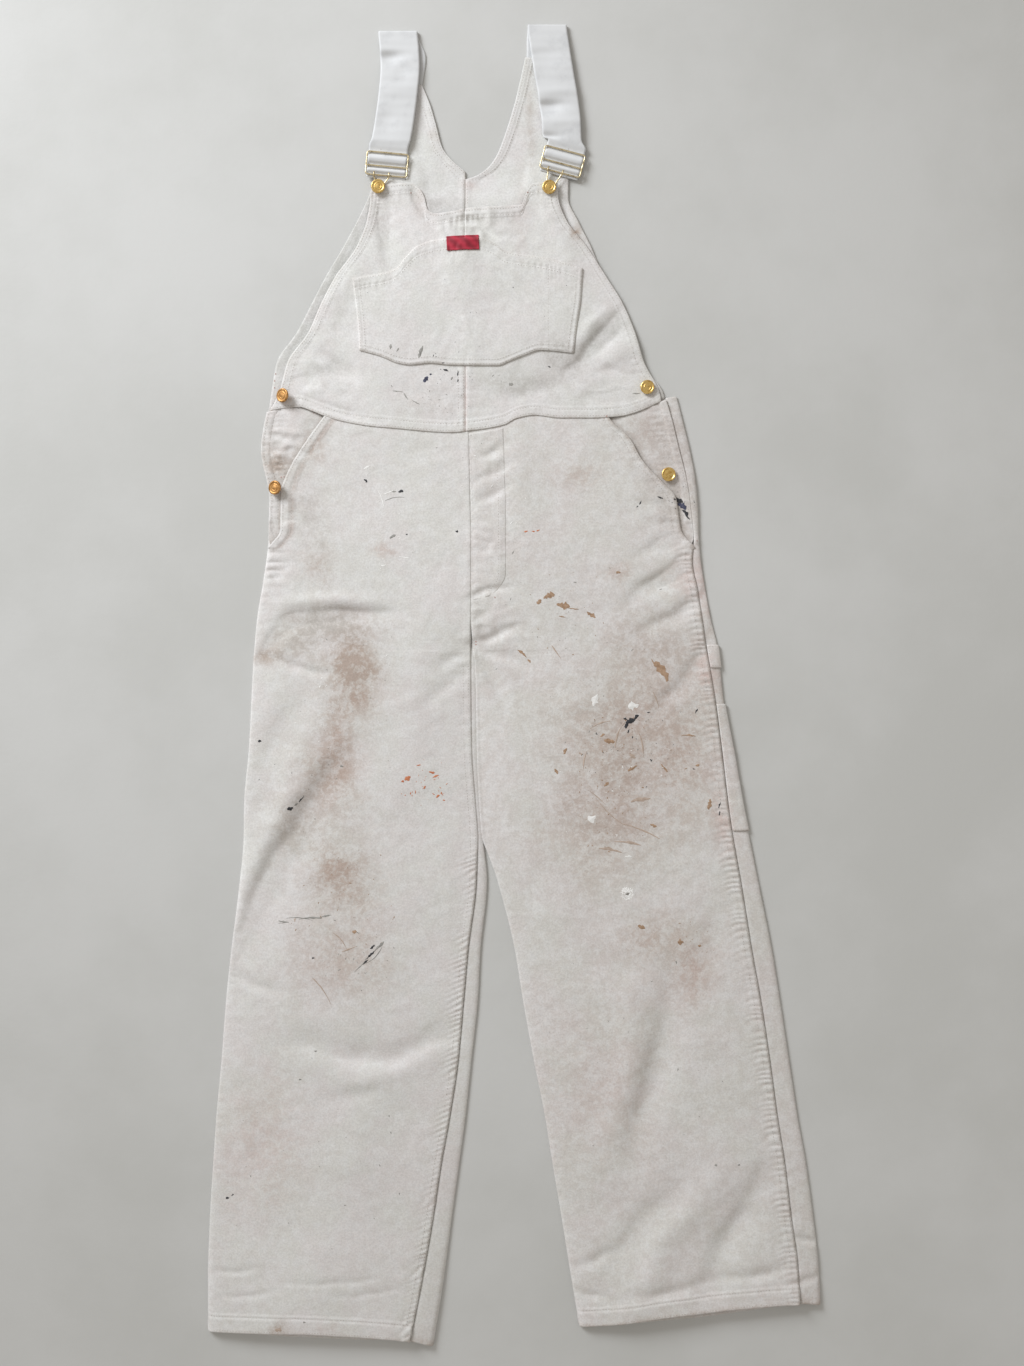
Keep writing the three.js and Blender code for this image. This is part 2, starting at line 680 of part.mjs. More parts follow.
// Bib pocket and its plain tab label, each laid on the face below
const bibFaces = [bibFrontLeft, bibFrontRight];
const onBib = (x, y) => heightOn(bibFaces, x, y) + seamGap + cloth;
const pocketTopAt = through(pocketTopLine, "x", "y");
const pocketFootAt = through(pocketFootLine, "x", "y");
const pocketLeft = through(pocketLeftSide, "y", "x");
const pocketRight = through(pocketRightSide, "y", "x");
const pocketAcross = 16;
const pocketDown = 6;
const bibPocket = fillCut(
  acrossLine(pocketTopAt, pocketCorner.topLeft.x, pocketCorner.topRight.x, pocketAcross),
  acrossLine(pocketFootAt, pocketCorner.footLeft.x, pocketCorner.footRight.x, pocketAcross),
  downLine(pocketLeft, pocketCorner.topLeft.y, pocketCorner.footLeft.y, pocketDown),
  downLine(pocketRight, pocketCorner.topRight.y, pocketCorner.footRight.y, pocketDown),
  onBib,
);
addPiece("bib_pocket", wall(bibPocket, cloth), drill);

const label = { x: -56.5, y: 481.5, wide: 35, tall: 16, turn: degToRad(3) };
const labelFace = steps(2).map((v) => {
  const row = steps(5).map((u) => {
    const place = new THREE.Vector2((u - 0.5) * label.wide, (0.5 - v) * label.tall);
    place.rotateAround(new THREE.Vector2(), label.turn);
    const [x, y] = [place.x + label.x, place.y + label.y];
    return new THREE.Vector3(x, y, heightOn([bibPocket, ...bibFaces], x, y) + seamGap + labelCloth);
  });
  return row.reverse();
});
addPiece("label_tab", wall(labelFace, labelCloth), redTwill);

// Back of the bib: two flat pieces that meet at the centre seam below the V
const lastBackLevel = waistLevel + 22; // clear of the waist seam at either side
const backSide = (levels, leftEdge, rightEdge) =>
  levels.map((y) =>
    steps(2).map((u) => new THREE.Vector3(lerp(leftEdge(y), rightEdge(y), u), y, 0)),
  );
const backLevels = (top) => [
  ...steps(4).map((t) => lerp(top, vFoot, t)),
  ...steps(6).slice(1).map((t) => lerp(vFoot, lastBackLevel, t)),
];
const toWaist = (rows) => [
  ...rows,
  rows[rows.length - 1].map(({ x }) => new THREE.Vector3(x, backWaistAt(x) + waistEase, 0)),
];
const leftArmAt = through(leftArm, "y", "x");
const rightArmAt = through(rightArm, "y", "x");
const armTop = { left: leftArm[0].y, right: rightArm[0].y };
const innerLeft = (y) => (y > vFoot ? Math.min(leftArmAt(y), centreLeft) : centreLeft);
const innerRight = (y) => (y > vFoot ? Math.max(rightArmAt(y), centreRight) : centreRight);
const backBibLeft = toWaist(backSide(backLevels(armTop.left), backLeft, innerLeft));
const backBibRight = toWaist(backSide(backLevels(armTop.right), innerRight, backRight));
addPiece("back_bib_left", wall(backBibLeft, cloth), drill);
addPiece("back_bib_right", wall(backBibRight, cloth), drill);

// The hammer loop and the tool pocket lie on the turned part of the right back panel.
function onTurnedPart(levels, fromColumn, toColumn) {
  const lift = seamGap + cloth;
  return levels.map((level) => {
    const section = backSection(level, rightBackEdges, rightHemAt, 1);
    return section.slice(fromColumn, toColumn + 1).map((point, i) => {
      const before = section[fromColumn + i - 1];
      const after = section[Math.min(fromColumn + i + 1, section.length - 1)];
      const normal = new THREE.Vector3(after.z - before.z, 0, before.x - after.x).normalize();
      return point.clone().addScaledVector(normal, lift);
    });
  });
}
const lastTurned = flatFractions.length + foldAngles.length + turnFractions.length - 1;
const besideFold = flatFractions.length + 2;
const loopLevels = [44, 36, 28, 19];
const toolPocketLevels = [-21, -56, -91, -126, -160];
const hammerLoop = onTurnedPart(loopLevels, besideFold, lastTurned);
const toolPocket = onTurnedPart(toolPocketLevels, besideFold, lastTurned - 1);
addPiece("hammer_loop", wall(hammerLoop, cloth), drill);
addPiece("tool_pocket", wall(toolPocket, cloth), drill);

// A strap: back run on the floor, round the shoulder fold, and down to the end of its slide.
function strapFace(strap) {
  const radius = webbing + strapFoldGap / 2;
  const across = (row, top) => {
    const turn = degToRad(row.turn ?? 0);
    return [-1, 0, 1].map((side) => {
      const half = (side * strapWidth) / 2;
      return new THREE.Vector3(row.x + half * Math.cos(turn), row.y + half * Math.sin(turn), top);
    });
  };
  const inSlide = strapInSlide.map(({ along, top }) => {
    const turn = degToRad(strap.slide.turn);
    const row = {
      x: strap.slide.x - along * Math.sin(turn),
      y: strap.slide.y + along * Math.cos(turn),
      turn: strap.slide.turn,
    };
    return across(row, top);
  });
  const folded = steps(6).map((t) => {
    const angle = lerp(-Math.PI / 2, Math.PI / 2, t);
    const row = { x: strap.foldX, y: strap.foldY - radius + radius * Math.cos(angle) };
    return across(row, radius + radius * Math.sin(angle));
  });
  return [
    ...strap.backRun.map((row) => across({ ...row, y: row.y + seamGap }, 0)),
    ...folded,
    ...strap.frontRun.map((row) => across(row, row.top)),
    ...inSlide,
  ].map((row) => row.reverse());
}

// The slide is a flat wire frame with three bars.
function slideGeometry() {
  const half = slideWide / 2;
  const edge = slideBar / 2;
  const round = 1.6;
  const corners = [
    { x: half - round, y: slideBars.bottom - edge + round, from: -90 },
    { x: half - round, y: slideBars.top + edge - round, from: 0 },
    { x: round - half, y: slideBars.top + edge - round, from: 90 },
    { x: round - half, y: slideBars.bottom - edge + round, from: 180 },
  ];
  const outline = new THREE.Shape(
    corners.flatMap(({ x, y, from }) =>
      [0, 30, 60, 90].map((more) => {
        const angle = degToRad(from + more);
        return new THREE.Vector2(x + round * Math.cos(angle), y + round * Math.sin(angle));
      }),
    ),
  );
  const inside = half - slideBar;
  const { bottom, middle, top } = slideBars;
  for (const [low, high] of [[bottom, middle], [middle, top]]) {
    const window = [[-inside, low], [-inside, high], [inside, high], [inside, low]];
    const shrunk = window.map(([x, y]) => new THREE.Vector2(x, y === low ? low + edge : high - edge));
    outline.holes.push(new THREE.Path(shrunk));
  }
  return new THREE.ExtrudeGeometry(outline, { depth: slideBar, bevelEnabled: false });
}

// The hook is one wire: over the slide's lowest bar, down, round the button's neck and back up.
function hookGeometry(button, wireZ) {
  const barTop = underBar + seamGap + slideBar;
  const over = barTop + 2 * seamGap + hookWire;
  const neck = shankRadius + seamGap + hookWire;
  const end = (x) => [
    new THREE.Vector3(x, slideBars.bottom + 2.3, over - 0.4),
    new THREE.Vector3(x, slideBars.bottom + 0.8, over),
    new THREE.Vector3(x, slideBars.bottom - 0.8, over),
    new THREE.Vector3(x, slideBars.bottom - 2.5, over - 1.1),
    new THREE.Vector3(lerp(x, button.x, 0.15), slideBars.bottom - 4.5, lerp(over, wireZ, 0.8)),
  ];
  const round = [180, 225, 270, 315, 360].map(degToRad).map(
    (angle) =>
      new THREE.Vector3(button.x + neck * Math.cos(angle), button.y + neck * Math.sin(angle), wireZ),
  );
  const route = new THREE.CatmullRomCurve3([...end(hookEyes[0]), ...round, ...end(hookEyes[1]).reverse()]);
  const wire = new THREE.Shape();
  wire.absarc(0, 0, hookWire, 0, 2 * Math.PI);
  const settings = { extrudePath: route, steps: 40, curveSegments: 4, bevelEnabled: false };
  return new THREE.ExtrudeGeometry(wire, settings);
}

// A tack button: a neck of a given height under a dished cap.
function buttonGeometry(shank) {
  const rim = buttonRadius;
  const profile = [
    [0, 0],
    [shankRadius, 0],
    [shankRadius, shank],
    [rim - 0.9, shank],
    [rim, shank + 0.8],
    [rim - 0.2, shank + 1.7],
    [rim - 1.6, shank + 2.3],
    [rim - 2.9, shank + 1.9],
    [0, shank + 2.1],
  ].map(([r, z]) => new THREE.Vector2(r, z));
  return new THREE.LatheGeometry(profile, 14).rotateX(Math.PI / 2);
}

for (const strap of straps) {
  const turn = degToRad(strap.slide.turn);
  addPiece(`strap_${strap.side}`, wall(strapFace(strap), webbing), elastic);

  const slideGroup = new THREE.Group();
  slideGroup.position.set(strap.slide.x, strap.slide.y, 0);
  slideGroup.rotation.z = turn;
  overalls.add(slideGroup);
  const slide = addPiece(`slide_${strap.side}`, slideGeometry(), brassWire);
  slide.position.z = underBar + seamGap;
  slideGroup.add(slide);

  const bibFace = heightOn(bibFaces, strap.button.x, strap.button.y);
  const wireZ = bibFace + 0.6 + hookWire;
  const local = new THREE.Vector2(strap.button.x - strap.slide.x, strap.button.y - strap.slide.y);
  local.rotateAround(new THREE.Vector2(), -turn);
  slideGroup.add(addPiece(`hook_${strap.side}`, hookGeometry(local, wireZ), brassWire));

  const buttonFoot = bibFace + seamGap;
  const shank = wireZ + hookWire + seamGap - buttonFoot;
  const button = addPiece(`button_bib_${strap.side}`, buttonGeometry(shank), goldTone);
  button.position.set(strap.button.x, strap.button.y, buttonFoot);
}

const sideFaces = [...bibFaces, hipLeft, hipRight, placketLeft, placketRight];
for (const { name, x, y, lean, shank } of sideButtons) {
  const button = addPiece(name, buttonGeometry(shank), goldTone);
  const tilt = degToRad(Math.abs(lean));
  button.position.set(x, y, heightOn(sideFaces, x, y) + 2 * seamGap + shankRadius * Math.sin(tilt));
  button.rotation.y = degToRad(lean);
}

export default overalls;
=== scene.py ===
import math

import bmesh
import bpy
import numpy as np
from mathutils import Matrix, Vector
from mathutils.bvhtree import BVHTree


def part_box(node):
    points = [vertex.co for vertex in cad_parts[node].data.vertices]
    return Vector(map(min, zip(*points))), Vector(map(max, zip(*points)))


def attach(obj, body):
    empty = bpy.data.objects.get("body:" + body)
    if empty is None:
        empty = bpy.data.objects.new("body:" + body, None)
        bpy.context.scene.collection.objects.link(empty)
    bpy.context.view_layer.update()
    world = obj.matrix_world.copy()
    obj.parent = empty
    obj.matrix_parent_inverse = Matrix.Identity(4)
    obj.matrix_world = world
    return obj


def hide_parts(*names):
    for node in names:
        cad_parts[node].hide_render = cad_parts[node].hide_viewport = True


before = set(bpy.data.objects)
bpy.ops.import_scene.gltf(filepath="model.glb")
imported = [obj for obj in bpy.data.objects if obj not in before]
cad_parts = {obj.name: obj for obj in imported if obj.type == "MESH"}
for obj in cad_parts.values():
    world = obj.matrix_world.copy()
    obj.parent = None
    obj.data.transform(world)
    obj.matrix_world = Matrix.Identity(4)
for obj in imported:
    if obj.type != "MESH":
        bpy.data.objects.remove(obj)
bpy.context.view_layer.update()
mm = 0.001
print("overalls: frame loaded")

# Places on the garment are read off the photo in its pixels, one pixel being 1.1 mm on the floor.
photo = {"middleX": 514.5, "middleY": 685, "mmPerPixel": 1.1}


def fromPhoto(px, py):
    right = np.asarray(px, float) - photo["middleX"]
    up = photo["middleY"] - np.asarray(py, float)
    return right * photo["mmPerPixel"], up * photo["mmPerPixel"]


def cosSin(degrees):
    return math.cos(math.radians(degrees)), math.sin(math.radians(degrees))


def mix(a, b, t):
    return a + (b - a) * t


def easeStep(value, low, high):
    t = np.clip((value - low) / (high - low), 0, 1)
    return t * t * (3 - 2 * t)


def hump(value, width):
    return np.exp(-((value / width) ** 2))


# A table is written a row at a time under the names of its columns, and kept by column.
def makeTable(columns, rows):
    values = np.array(sorted(rows), float)
    return {name: values[:, i] for i, name in enumerate(columns.split())}


# A smooth line through one column of a table against another. It never overshoots a row.
def reader(table, value, at="y"):
    a, v = table[at], table[value]
    slope = np.diff(v) / np.diff(a)
    before, after = np.append(slope[0], slope), np.append(slope, slope[-1])
    sameWay = before * after > 0
    tangent = np.where(sameWay, 2 * before * after / np.where(sameWay, before + after, 1), 0)

    def read(where):
        where = np.clip(where, a[0], a[-1])
        i = np.clip(np.searchsorted(a, where) - 1, 0, len(a) - 2)
        span = a[i + 1] - a[i]
        t = (where - a[i]) / span
        s = 1 - t
        ends = v[i] * s * s * (1 + 2 * t) + v[i + 1] * t * t * (3 - 2 * t)
        return ends + tangent[i] * span * s * s * t - tangent[i + 1] * span * t * t * s

    return read


noiseCells = 96  # bumps each way before they repeat


# Smooth bumps between -1 and 1, about size mm apart.
def softNoise(x, y, size, seed):
    cells = np.random.default_rng(seed).uniform(-1, 1, (noiseCells + 1, noiseCells + 1))
    gx, gy = np.asarray(x) / size + 50 * noiseCells, np.asarray(y) / size + 50 * noiseCells
    ix, iy = np.floor(gx).astype(int), np.floor(gy).astype(int)
    fx, fy = gx - ix, gy - iy
    sx, sy = fx * fx * (3 - 2 * fx), fy * fy * (3 - 2 * fy)
    ix, iy, jx, jy = (i % noiseCells for i in (ix, iy, ix + 1, iy + 1))
    low = mix(cells[ix, iy], cells[jx, iy], sx)
    high = mix(cells[ix, jy], cells[jx, jy], sx)
    return mix(low, high, sy)


# Camera: straight above, as the photo was taken
view = {"height": 1500, "lens": 35.9, "aimAt": (512, 683)}
aimX, aimY = fromPhoto(*view["aimAt"])
bpy.ops.object.camera_add(location=(aimX * mm, aimY * mm, view["height"] * mm))
camera = bpy.context.object
camera.data.lens = view["lens"]
bpy.context.scene.camera = camera

# The cut of the garment in mm: x to the right as it is seen, y to the shoulders, z off the floor.
cloth, seamGap, foldGap = 1.2, 0.3, 0.8
waistLevel, crotchLevel, inseamLevel, hemLevel = 300, 85, 25, -712
hipLap, hipFoot, mouthFoot, mouthLift = 16, 160, 150, 0.4
bibCentre, vFoot = -54, 557
hemDepth, backPeek = 19, 8

leftLeg = makeTable("y outer seam fold", [
    (318, -268, -52, -52),
    (258, -278, -51, -51),
    (205, -269, -50, -50),
    (165, -270, -49, -49),
    (115, -276, -49, -49),
    (72, -283, -49, -49),
    (25, -287, -49, -40),
    (-70, -292, -48, -39),
    (-127, -297, -44, -37),
    (-172, -298, -41, -34),
    (-215, -302, -42, -30),
    (-290, -311, -51, -37),
    (-346, -317, -56, -40),
    (-412, -322, -62, -47),
    (-478, -328, -72, -54),
    (-522, -331, -80, -60),
    (-588, -335, -90, -69),
    (-650, -337, -101, -77),
    (-726, -337, -116, -89),
])
rightLeg = makeTable("y inner seam fold", [
    (318, -52, 165, 178),
    (291, -52, 173, 185),
    (258, -51, 181, 193),
    (226, -50, 189, 199),
    (192, -49, 194, 202),
    (159, -49, 197, 203),
    (137, -49, 195, 205),
    (104, -49, 201, 210),
    (72, -48, 206, 216),
    (38, -44, 211, 224),
    (-16, -40, 220, 230),
    (-70, -39, 227, 240),
    (-137, -36, 235, 252),
    (-170, -33, 240, 259),
    (-215, -19, 248, 268),
    (-290, 0, 260, 283),
    (-346, 9, 270, 292),
    (-412, 21, 280, 302),
    (-478, 34, 289, 312),
    (-522, 41, 296, 320),
    (-588, 52, 304, 329),
    (-632, 59, 310, 334),
    (-704, 71, 314, 338),
])
bib = makeTable("y left right backLeft backRight", [
    (300, -269, 163, -270, 168),
    (322, -258, 159, -267, 163),
    (355, -249, 142, -261, 138),
    (388, -226, 132, -239, 127),
    (417, -213, 120, -224, 116),
    (448, -197, 101, -208, 98),
    (482, -173, 79, -188, 84),
    (510, -162, 57, -173, 70),
    (535, -158, 48, -161, 59),
    (553, -157, 47, -155, 59),
    (600, -157, 47, -148, 62),
    (640, -157, 47, -146, 60),
    (690, -157, 47, -144, 57),
])
waistLine = makeTable("x y", [
    (-271, 300), (-252, 304), (-236, 305), (-223, 301), (-208, 295), (-192, 290), (-159, 284),
    (-126, 281), (-93, 278), (-71, 277), (-49, 279), (-27, 282), (-10, 286), (1, 292), (22, 296),
    (50, 293), (83, 293), (116, 295), (138, 301), (163, 312), (178, 317),
])
backWaistLine = makeTable("x y", [(-271, 300), (-52, 279), (178, 317)])
bibTopLine = makeTable("x y", [
    (-158, 548), (-135, 550), (-114, 551), (-106, 546), (-99, 535), (-96, 522), (-87, 517), (-66, 520),
    (-54, 523), (-20, 525), (8, 527), (12, 538), (20, 550), (48, 553),
])
leftHemLine = makeTable("x y", [(-338, -709), (-236, -709), (-181, -712), (-120, -718), (-89, -726)])
rightHemLine = makeTable("x y", [
    (71, -704), (116, -699), (160, -692), (204, -687), (248, -682), (314, -678), (338, -681),
])
leftMouth = makeTable("y x", [(305, -202), (231, -250), (212, -256), (170, -257), (150, -271)])
rightMouth = makeTable("y x", [
    (305, 96), (288, 108), (270, 127), (250, 138), (236, 149), (225, 160), (205, 177), (170, 183), (150, 199),
])
pocketTopLine = makeTable("x y", [
    (-179, 446), (-164, 449), (-142, 453), (-128, 459), (-120, 469), (-104, 483), (-82, 489),
    (-38, 491), (-21, 484), (-10, 476), (28, 470), (50, 465), (75, 457),
])
pocketFootLine = makeTable("x y", [
    (-170, 367), (-148, 361), (-128, 353), (-115, 351), (-93, 353), (-71, 351), (-19, 350), (-5, 355),
    (12, 362), (28, 367), (65, 364),
])
pocketSides = makeTable("y left right", [
    (330, -169, 62), (364, -170, 65), (397, -172, 69), (424, -175, 73), (457, -179, 75),
])
leftArm = makeTable("y inner", [
    (660, -102), (638, -93), (614, -86), (592, -80), (574, -66), (565, -55), (557, -49),
])
rightArm = makeTable("y inner", [
    (700, 14), (671, 8), (638, 0), (600, -12), (583, -19), (569, -29), (561, -40), (557, -49),
])

leftOuter, leftSeam, leftFold = (reader(leftLeg, edge) for edge in ("outer", "seam", "fold"))
rightInner, rightSeam, rightFold = (reader(rightLeg, edge) for edge in ("inner", "seam", "fold"))
bibLeft, bibRight = reader(bib, "left"), reader(bib, "right")
backLeft, backRight = reader(bib, "backLeft"), reader(bib, "backRight")
waistAt, bibTopAt = reader(waistLine, "y", "x"), reader(bibTopLine, "y", "x")
leftHemAt, rightHemAt = reader(leftHemLine, "y", "x"), reader(rightHemLine, "y", "x")
leftMouthAt, rightMouthAt = reader(leftMouth, "x"), reader(rightMouth, "x")
pocketTopAt, pocketFootAt = reader(pocketTopLine, "y", "x"), reader(pocketFootLine, "y", "x")
pocketLeftAt, pocketRightAt = reader(pocketSides, "left"), reader(pocketSides, "right")
leftArmAt, rightArmAt = reader(leftArm, "inner"), reader(rightArm, "inner")


def backWaistAt(x):
    return np.interp(x, backWaistLine["x"], backWaistLine["y"])


# Creases and soft folds of the front, placed by the photo: the two ends in its pixels, the bend of
# the line between them, half its width and its height in mm, less than 0 for a trough, and how much
# wider it is on its far side.
creases = [
    # bib
    (614, 322, 578, 360, -3, 9, -3.6, 0.5),
    (600, 316, 576, 342, 0, 6, 1.5, 0.0),
    (640, 345, 600, 356, 3, 12, 1.6, 0.0),
    (376, 200, 390, 262, 0, 9, -1.8, 0.3),
    (362, 262, 318, 336, 4, 12, 1.4, 0.2),
    (316, 352, 346, 374, 2, 8, -2.4, 0.3),
    (303, 398, 368, 419, 4, 5, -1.6, 0.2),
    (286, 392, 316, 377, 0, 7, -1.6, 0.0),
    (398, 392, 452, 404, -3, 8, -0.9, 0.2),
    (500, 395, 560, 384, 3, 9, -0.9, 0.0),
    (596, 366, 640, 384, 3, 8, -2.0, 0.3),
    (592, 398, 636, 392, 1, 5, -1.3, 0.0),
    (548, 200, 566, 256, 0, 12, 1.3, 0.0),
    (464, 262, 470, 336, 0, 22, 1.0, 0.0),
    (430, 214, 438, 232, 1, 4, -0.4, 0.0),
    (441, 213, 447, 234, 1, 4, -0.4, 0.0),
    (451, 214, 459, 236, 1, 4, -0.4, 0.0),
    (463, 212, 487, 231, 1, 5, -2.2, 0.3),
    (474, 226, 500, 236, 1, 5, -0.9, 0.0),
    (413, 188, 427, 216, 2, 5, -2.2, 0.2),
    (420, 186, 438, 206, 2, 4, 1.2, 0.0),
    (506, 222, 530, 240, 0, 6, -0.8, 0.0),
    # pockets, fly and seat
    (263, 432, 298, 439, 1, 4, -1.4, 0.0),
    (263, 446, 301, 453, 1, 4, -1.3, 0.0),
    (263, 463, 292, 481, -2, 7, -2.4, 0.3),
    (268, 500, 300, 521, 2, 6, -1.8, 0.0),
    (271, 519, 294, 545, 2, 6, -1.5, 0.0),
    (268, 548, 286, 562, 1, 5, -1.0, 0.0),
    (480, 458, 502, 446, 1, 5, -1.0, 0.0),
    (478, 480, 505, 466, 2, 6, -1.3, 0.2),
    (480, 502, 506, 487, 2, 6, -1.2, 0.2),
    (520, 440, 530, 520, 3, 16, 1.0, 0.0),
    (474, 597, 504, 589, -3, 4, -1.6, 0.0),
    (477, 641, 512, 627, 2, 5, -1.5, 0.0),
    (478, 648, 518, 664, -2, 6, -1.6, 0.2),
    (478, 656, 500, 696, -3, 7, -1.6, 0.2),
    (474, 650, 438, 668, 3, 7, -1.1, 0.0),
    (472, 668, 428, 706, 3, 9, -0.9, 0.0),
    (694, 556, 638, 592, -4, 10, -2.8, 0.3),
    (700, 598, 652, 626, -3, 8, -1.7, 0.2),
    (692, 536, 648, 552, 2, 7, -1.4, 0.0),
    (690, 516, 650, 504, 1, 5, -1.4, 0.0),
    (690, 528, 655, 522, 1, 5, -1.1, 0.0),
    (640, 478, 664, 496, 0, 5, -1.0, 0.0),
    (706, 640, 664, 702, -4, 9, -1.6, 0.2),
    # left leg
    (374, 614, 296, 620, 2, 9, -3.0, 0.4),
    (376, 603, 290, 603, 3, 7, 1.4, 0.0),
    (292, 622, 266, 650, 2, 8, -1.8, 0.2),
    (276, 659, 324, 673, 3, 5, -2.0, 0.0),
    (300, 700, 268, 760, 3, 16, -1.2, 0.2),
    (430, 640, 404, 770, 5, 26, 1.0, 0.0),
    (336, 772, 250, 930, 9, 18, -3.4, 0.4),
    (318, 766, 234, 918, 9, 11, 1.6, 0.0),
    (305, 735, 262, 830, -6, 18, 1.5, 0.2),
    (236, 974, 268, 988, 2, 6, -1.8, 0.0),
    (314, 1040, 432, 1040, 22, 13, -3.0, 0.3),
    (320, 1064, 420, 1060, 20, 12, 1.2, 0.0),
    (338, 1097, 386, 1084, 2, 8, -1.1, 0.0),
    (250, 1120, 300, 1180, 4, 24, -1.2, 0.0),
    (360, 1120, 330, 1240, 4, 30, 1.2, 0.0),
    (216, 1270, 254, 1266, 3, 3.5, -0.9, 0.2),
    (288, 1280, 374, 1277, 2, 3.5, -0.6, 0.2),
    (340, 1293, 398, 1286, 2, 3.5, -0.5, 0.0),
    (228, 1294, 276, 1288, 2, 3.5, -0.6, 0.0),
    # right leg
    (560, 640, 600, 740, 5, 28, 1.2, 0.0),
    (664, 990, 638, 1130, -6, 16, -3.6, 0.3),
    (634, 1000, 612, 1130, -5, 16, 1.8, 0.0),
    (706, 1190, 632, 1296, 6, 17, 2.6, 0.2),
    (756, 1186, 712, 1276, 5, 15, -3.2, 0.3),
    (668, 1196, 612, 1268, 5, 14, -2.0, 0.2),
    (590, 900, 640, 980, 6, 24, -1.2, 0.0),
    (720, 900, 700, 1000, 4, 20, -1.3, 0.0),
    (584, 1262, 612, 1250, 0, 6, -1.4, 0.0),
    (640, 1292, 700, 1282, 2, 6, -1.5, 0.2),
    (580, 1290, 606, 1296, 1, 5, -1.3, 0.0),
    (724, 1276, 786, 1266, 3, 6, -1.5, 0.2),
    (799, 1237, 818, 1241, 1, 4, -1.5, 0.2),
    (799, 1279, 820, 1274, 1, 4, -1.3, 0.0),
]


def creaseHeight(x, y):
    total = np.zeros(np.shape(x))
    for seed, (px0, py0, px1, py1, bend, reach, height, skew) in enumerate(creases):
        (ax, bx), (ay, by) = fromPhoto([px0, px1], [py0, py1])
        length = math.hypot(bx - ax, by - ay)
        far = length / 2 + 5 * reach + abs(bend)
        near = np.hypot(x - (ax + bx) / 2, y - (ay + by) / 2) < far
        if not near.any():
            continue
        ux, uy = (bx - ax) / length, (by - ay) / length
        offX, offY = x[near] - ax, y[near] - ay
        along = (offX * ux + offY * uy) / length
        inside = np.clip(along, 0, 1)
        aside = offY * ux - offX * uy + bend * 4 * inside * (1 - inside)
        aside = aside + 0.3 * reach * softNoise(along * length, 0, 2.2 * reach, seed)
        beyond = np.maximum(np.maximum(-along, along - 1), 0) * length
        width = reach * np.where(aside > 0, 1 + skew, 1 - skew)
        uneven = 1 + 0.25 * softNoise(along * length, 7, 18, seed)
        depth = height * (0.55 + 0.45 * np.sin(np.pi * inside)) * uneven
        total[near] += depth * hump(aside, width) * hump(beyond, 2.2 * reach)
    return total


# How the seams are drawn together, in mm: how far apart the ridges are, how far in they reach, how high
# they are, the seed of their unevenness, and their slant and bow across the seam
drawn = {
    "leg hem": (9, 8, 0.3, 1, 0, 0),
    "left inseam": (6.2, 13, 0.95, 31, 0.5, 0),
    "left rise": (13, 12, 0.3, 33, 0, 0),
    "left edge": (12, 7, 0.25, 35, 0, 0),
    "left waist": (8, 7, 0.2, 39, 0, 0),
    "left pocket mouth": (6, 8, 0.3, 41, 0, 0),
    "left edge below the pocket": (9, 14, 0.9, 43, 0, 0),
    "right outer seam": (7.0, 15, 1.0, 51, -0.25, 0.35),
    "right inner edge": (11, 8, 0.25, 53, 0, 0),
    "right waist": (9, 7, 0.2, 57, 0, 0),
    "right pocket mouth": (7, 12, 0.25, 59, 0, 0),
    "hip": (7, 12, 0.55, 63, 0, 0),
    "side placket": (6, 9, 0.4, 67, 0, 0),
    "fly": (12, 20, 0.45, 71, 0.25, 0),
    "fly foot": (8, 8, 0.5, 73, 0, 0),
    "bib top": (7, 9, 0.45, 81, 0, 0),
    "bib waist": (5.6, 7, 0.5, 83, 0, 0),
    "bib side": (6.5, 8, 0.35, 85, 0, 0),
    "bib centre": (9, 9, 0.2, 87, 0, 0),
    "bib pocket top": (7, 9, 0.4, 91, 0, 0),
    "bib pocket foot": (7, 6, 0.25, 93, 0, 0),
    "bib pocket side": (7, 6, 0.25, 95, 0, 0),
    "arm inside": (7, 8, 0.25, 101, 0, 0),
    "arm outside": (7, 7, 0.25, 103, 0, 0),
}


# Short round ridges that a shrunk seam draws across itself, with sharp troughs between them.
def puckers(along, aside, seam, seedShift=0):
    spacing, reach, height, seed, slant, bow = drawn[seam]
    seed = seed + seedShift
    drift = along + slant * aside + bow * aside * aside / reach
    drift = drift + 0.8 * spacing * softNoise(along, 0, 2.5 * spacing, seed)
    swell = 0.6 + 0.55 * softNoise(along, 9, 22, seed + 1)
    reached = reach * (1 + 0.5 * softNoise(along, 3, 1.5 * spacing, seed + 2))
    ridge = 2 * np.abs(np.sin(np.pi * drift / spacing)) - 1.2
    return height * swell * ridge * hump(aside, reached) * easeStep(aside, -0.5, 3)


# Small crumples of thin, often washed cloth: place in the photo, reach in its pixels, height in mm
crumples = [
    (470, 222, 44, 0.9), (428, 205, 16, 0.8), (436, 146, 14, 0.9), (515, 200, 22, 0.5), (276, 440, 26, 1.2),
    (280, 520, 24, 1.2), (274, 568, 18, 1.0), (492, 622, 30, 0.9), (487, 470, 20, 0.6), (487, 545, 20, 0.6),
    (676, 500, 22, 0.8), (690, 545, 18, 0.9), (645, 395, 20, 0.5), (470, 330, 60, 0.25), (340, 385, 40, 0.4),
    (610, 380, 40, 0.4), (275, 380, 22, 0.5), (380, 210, 16, 0.5), (552, 205, 16, 0.5), (330, 300, 40, 0.3),
]


def crumpleHeight(x, y):
    strength = np.zeros(np.shape(x))
    for px, py, reach, height in crumples:
        cx, cy = fromPhoto(px, py)
        strength = np.maximum(strength, height * hump(np.hypot(x - cx, y - cy), reach * photo["mmPerPixel"]))
    ridges = 1 - 2 * np.abs(softNoise(x + 0.3 * y, y, 15, 17)) + 0.5 * softNoise(x, y, 6, 18)
    return strength * ridges


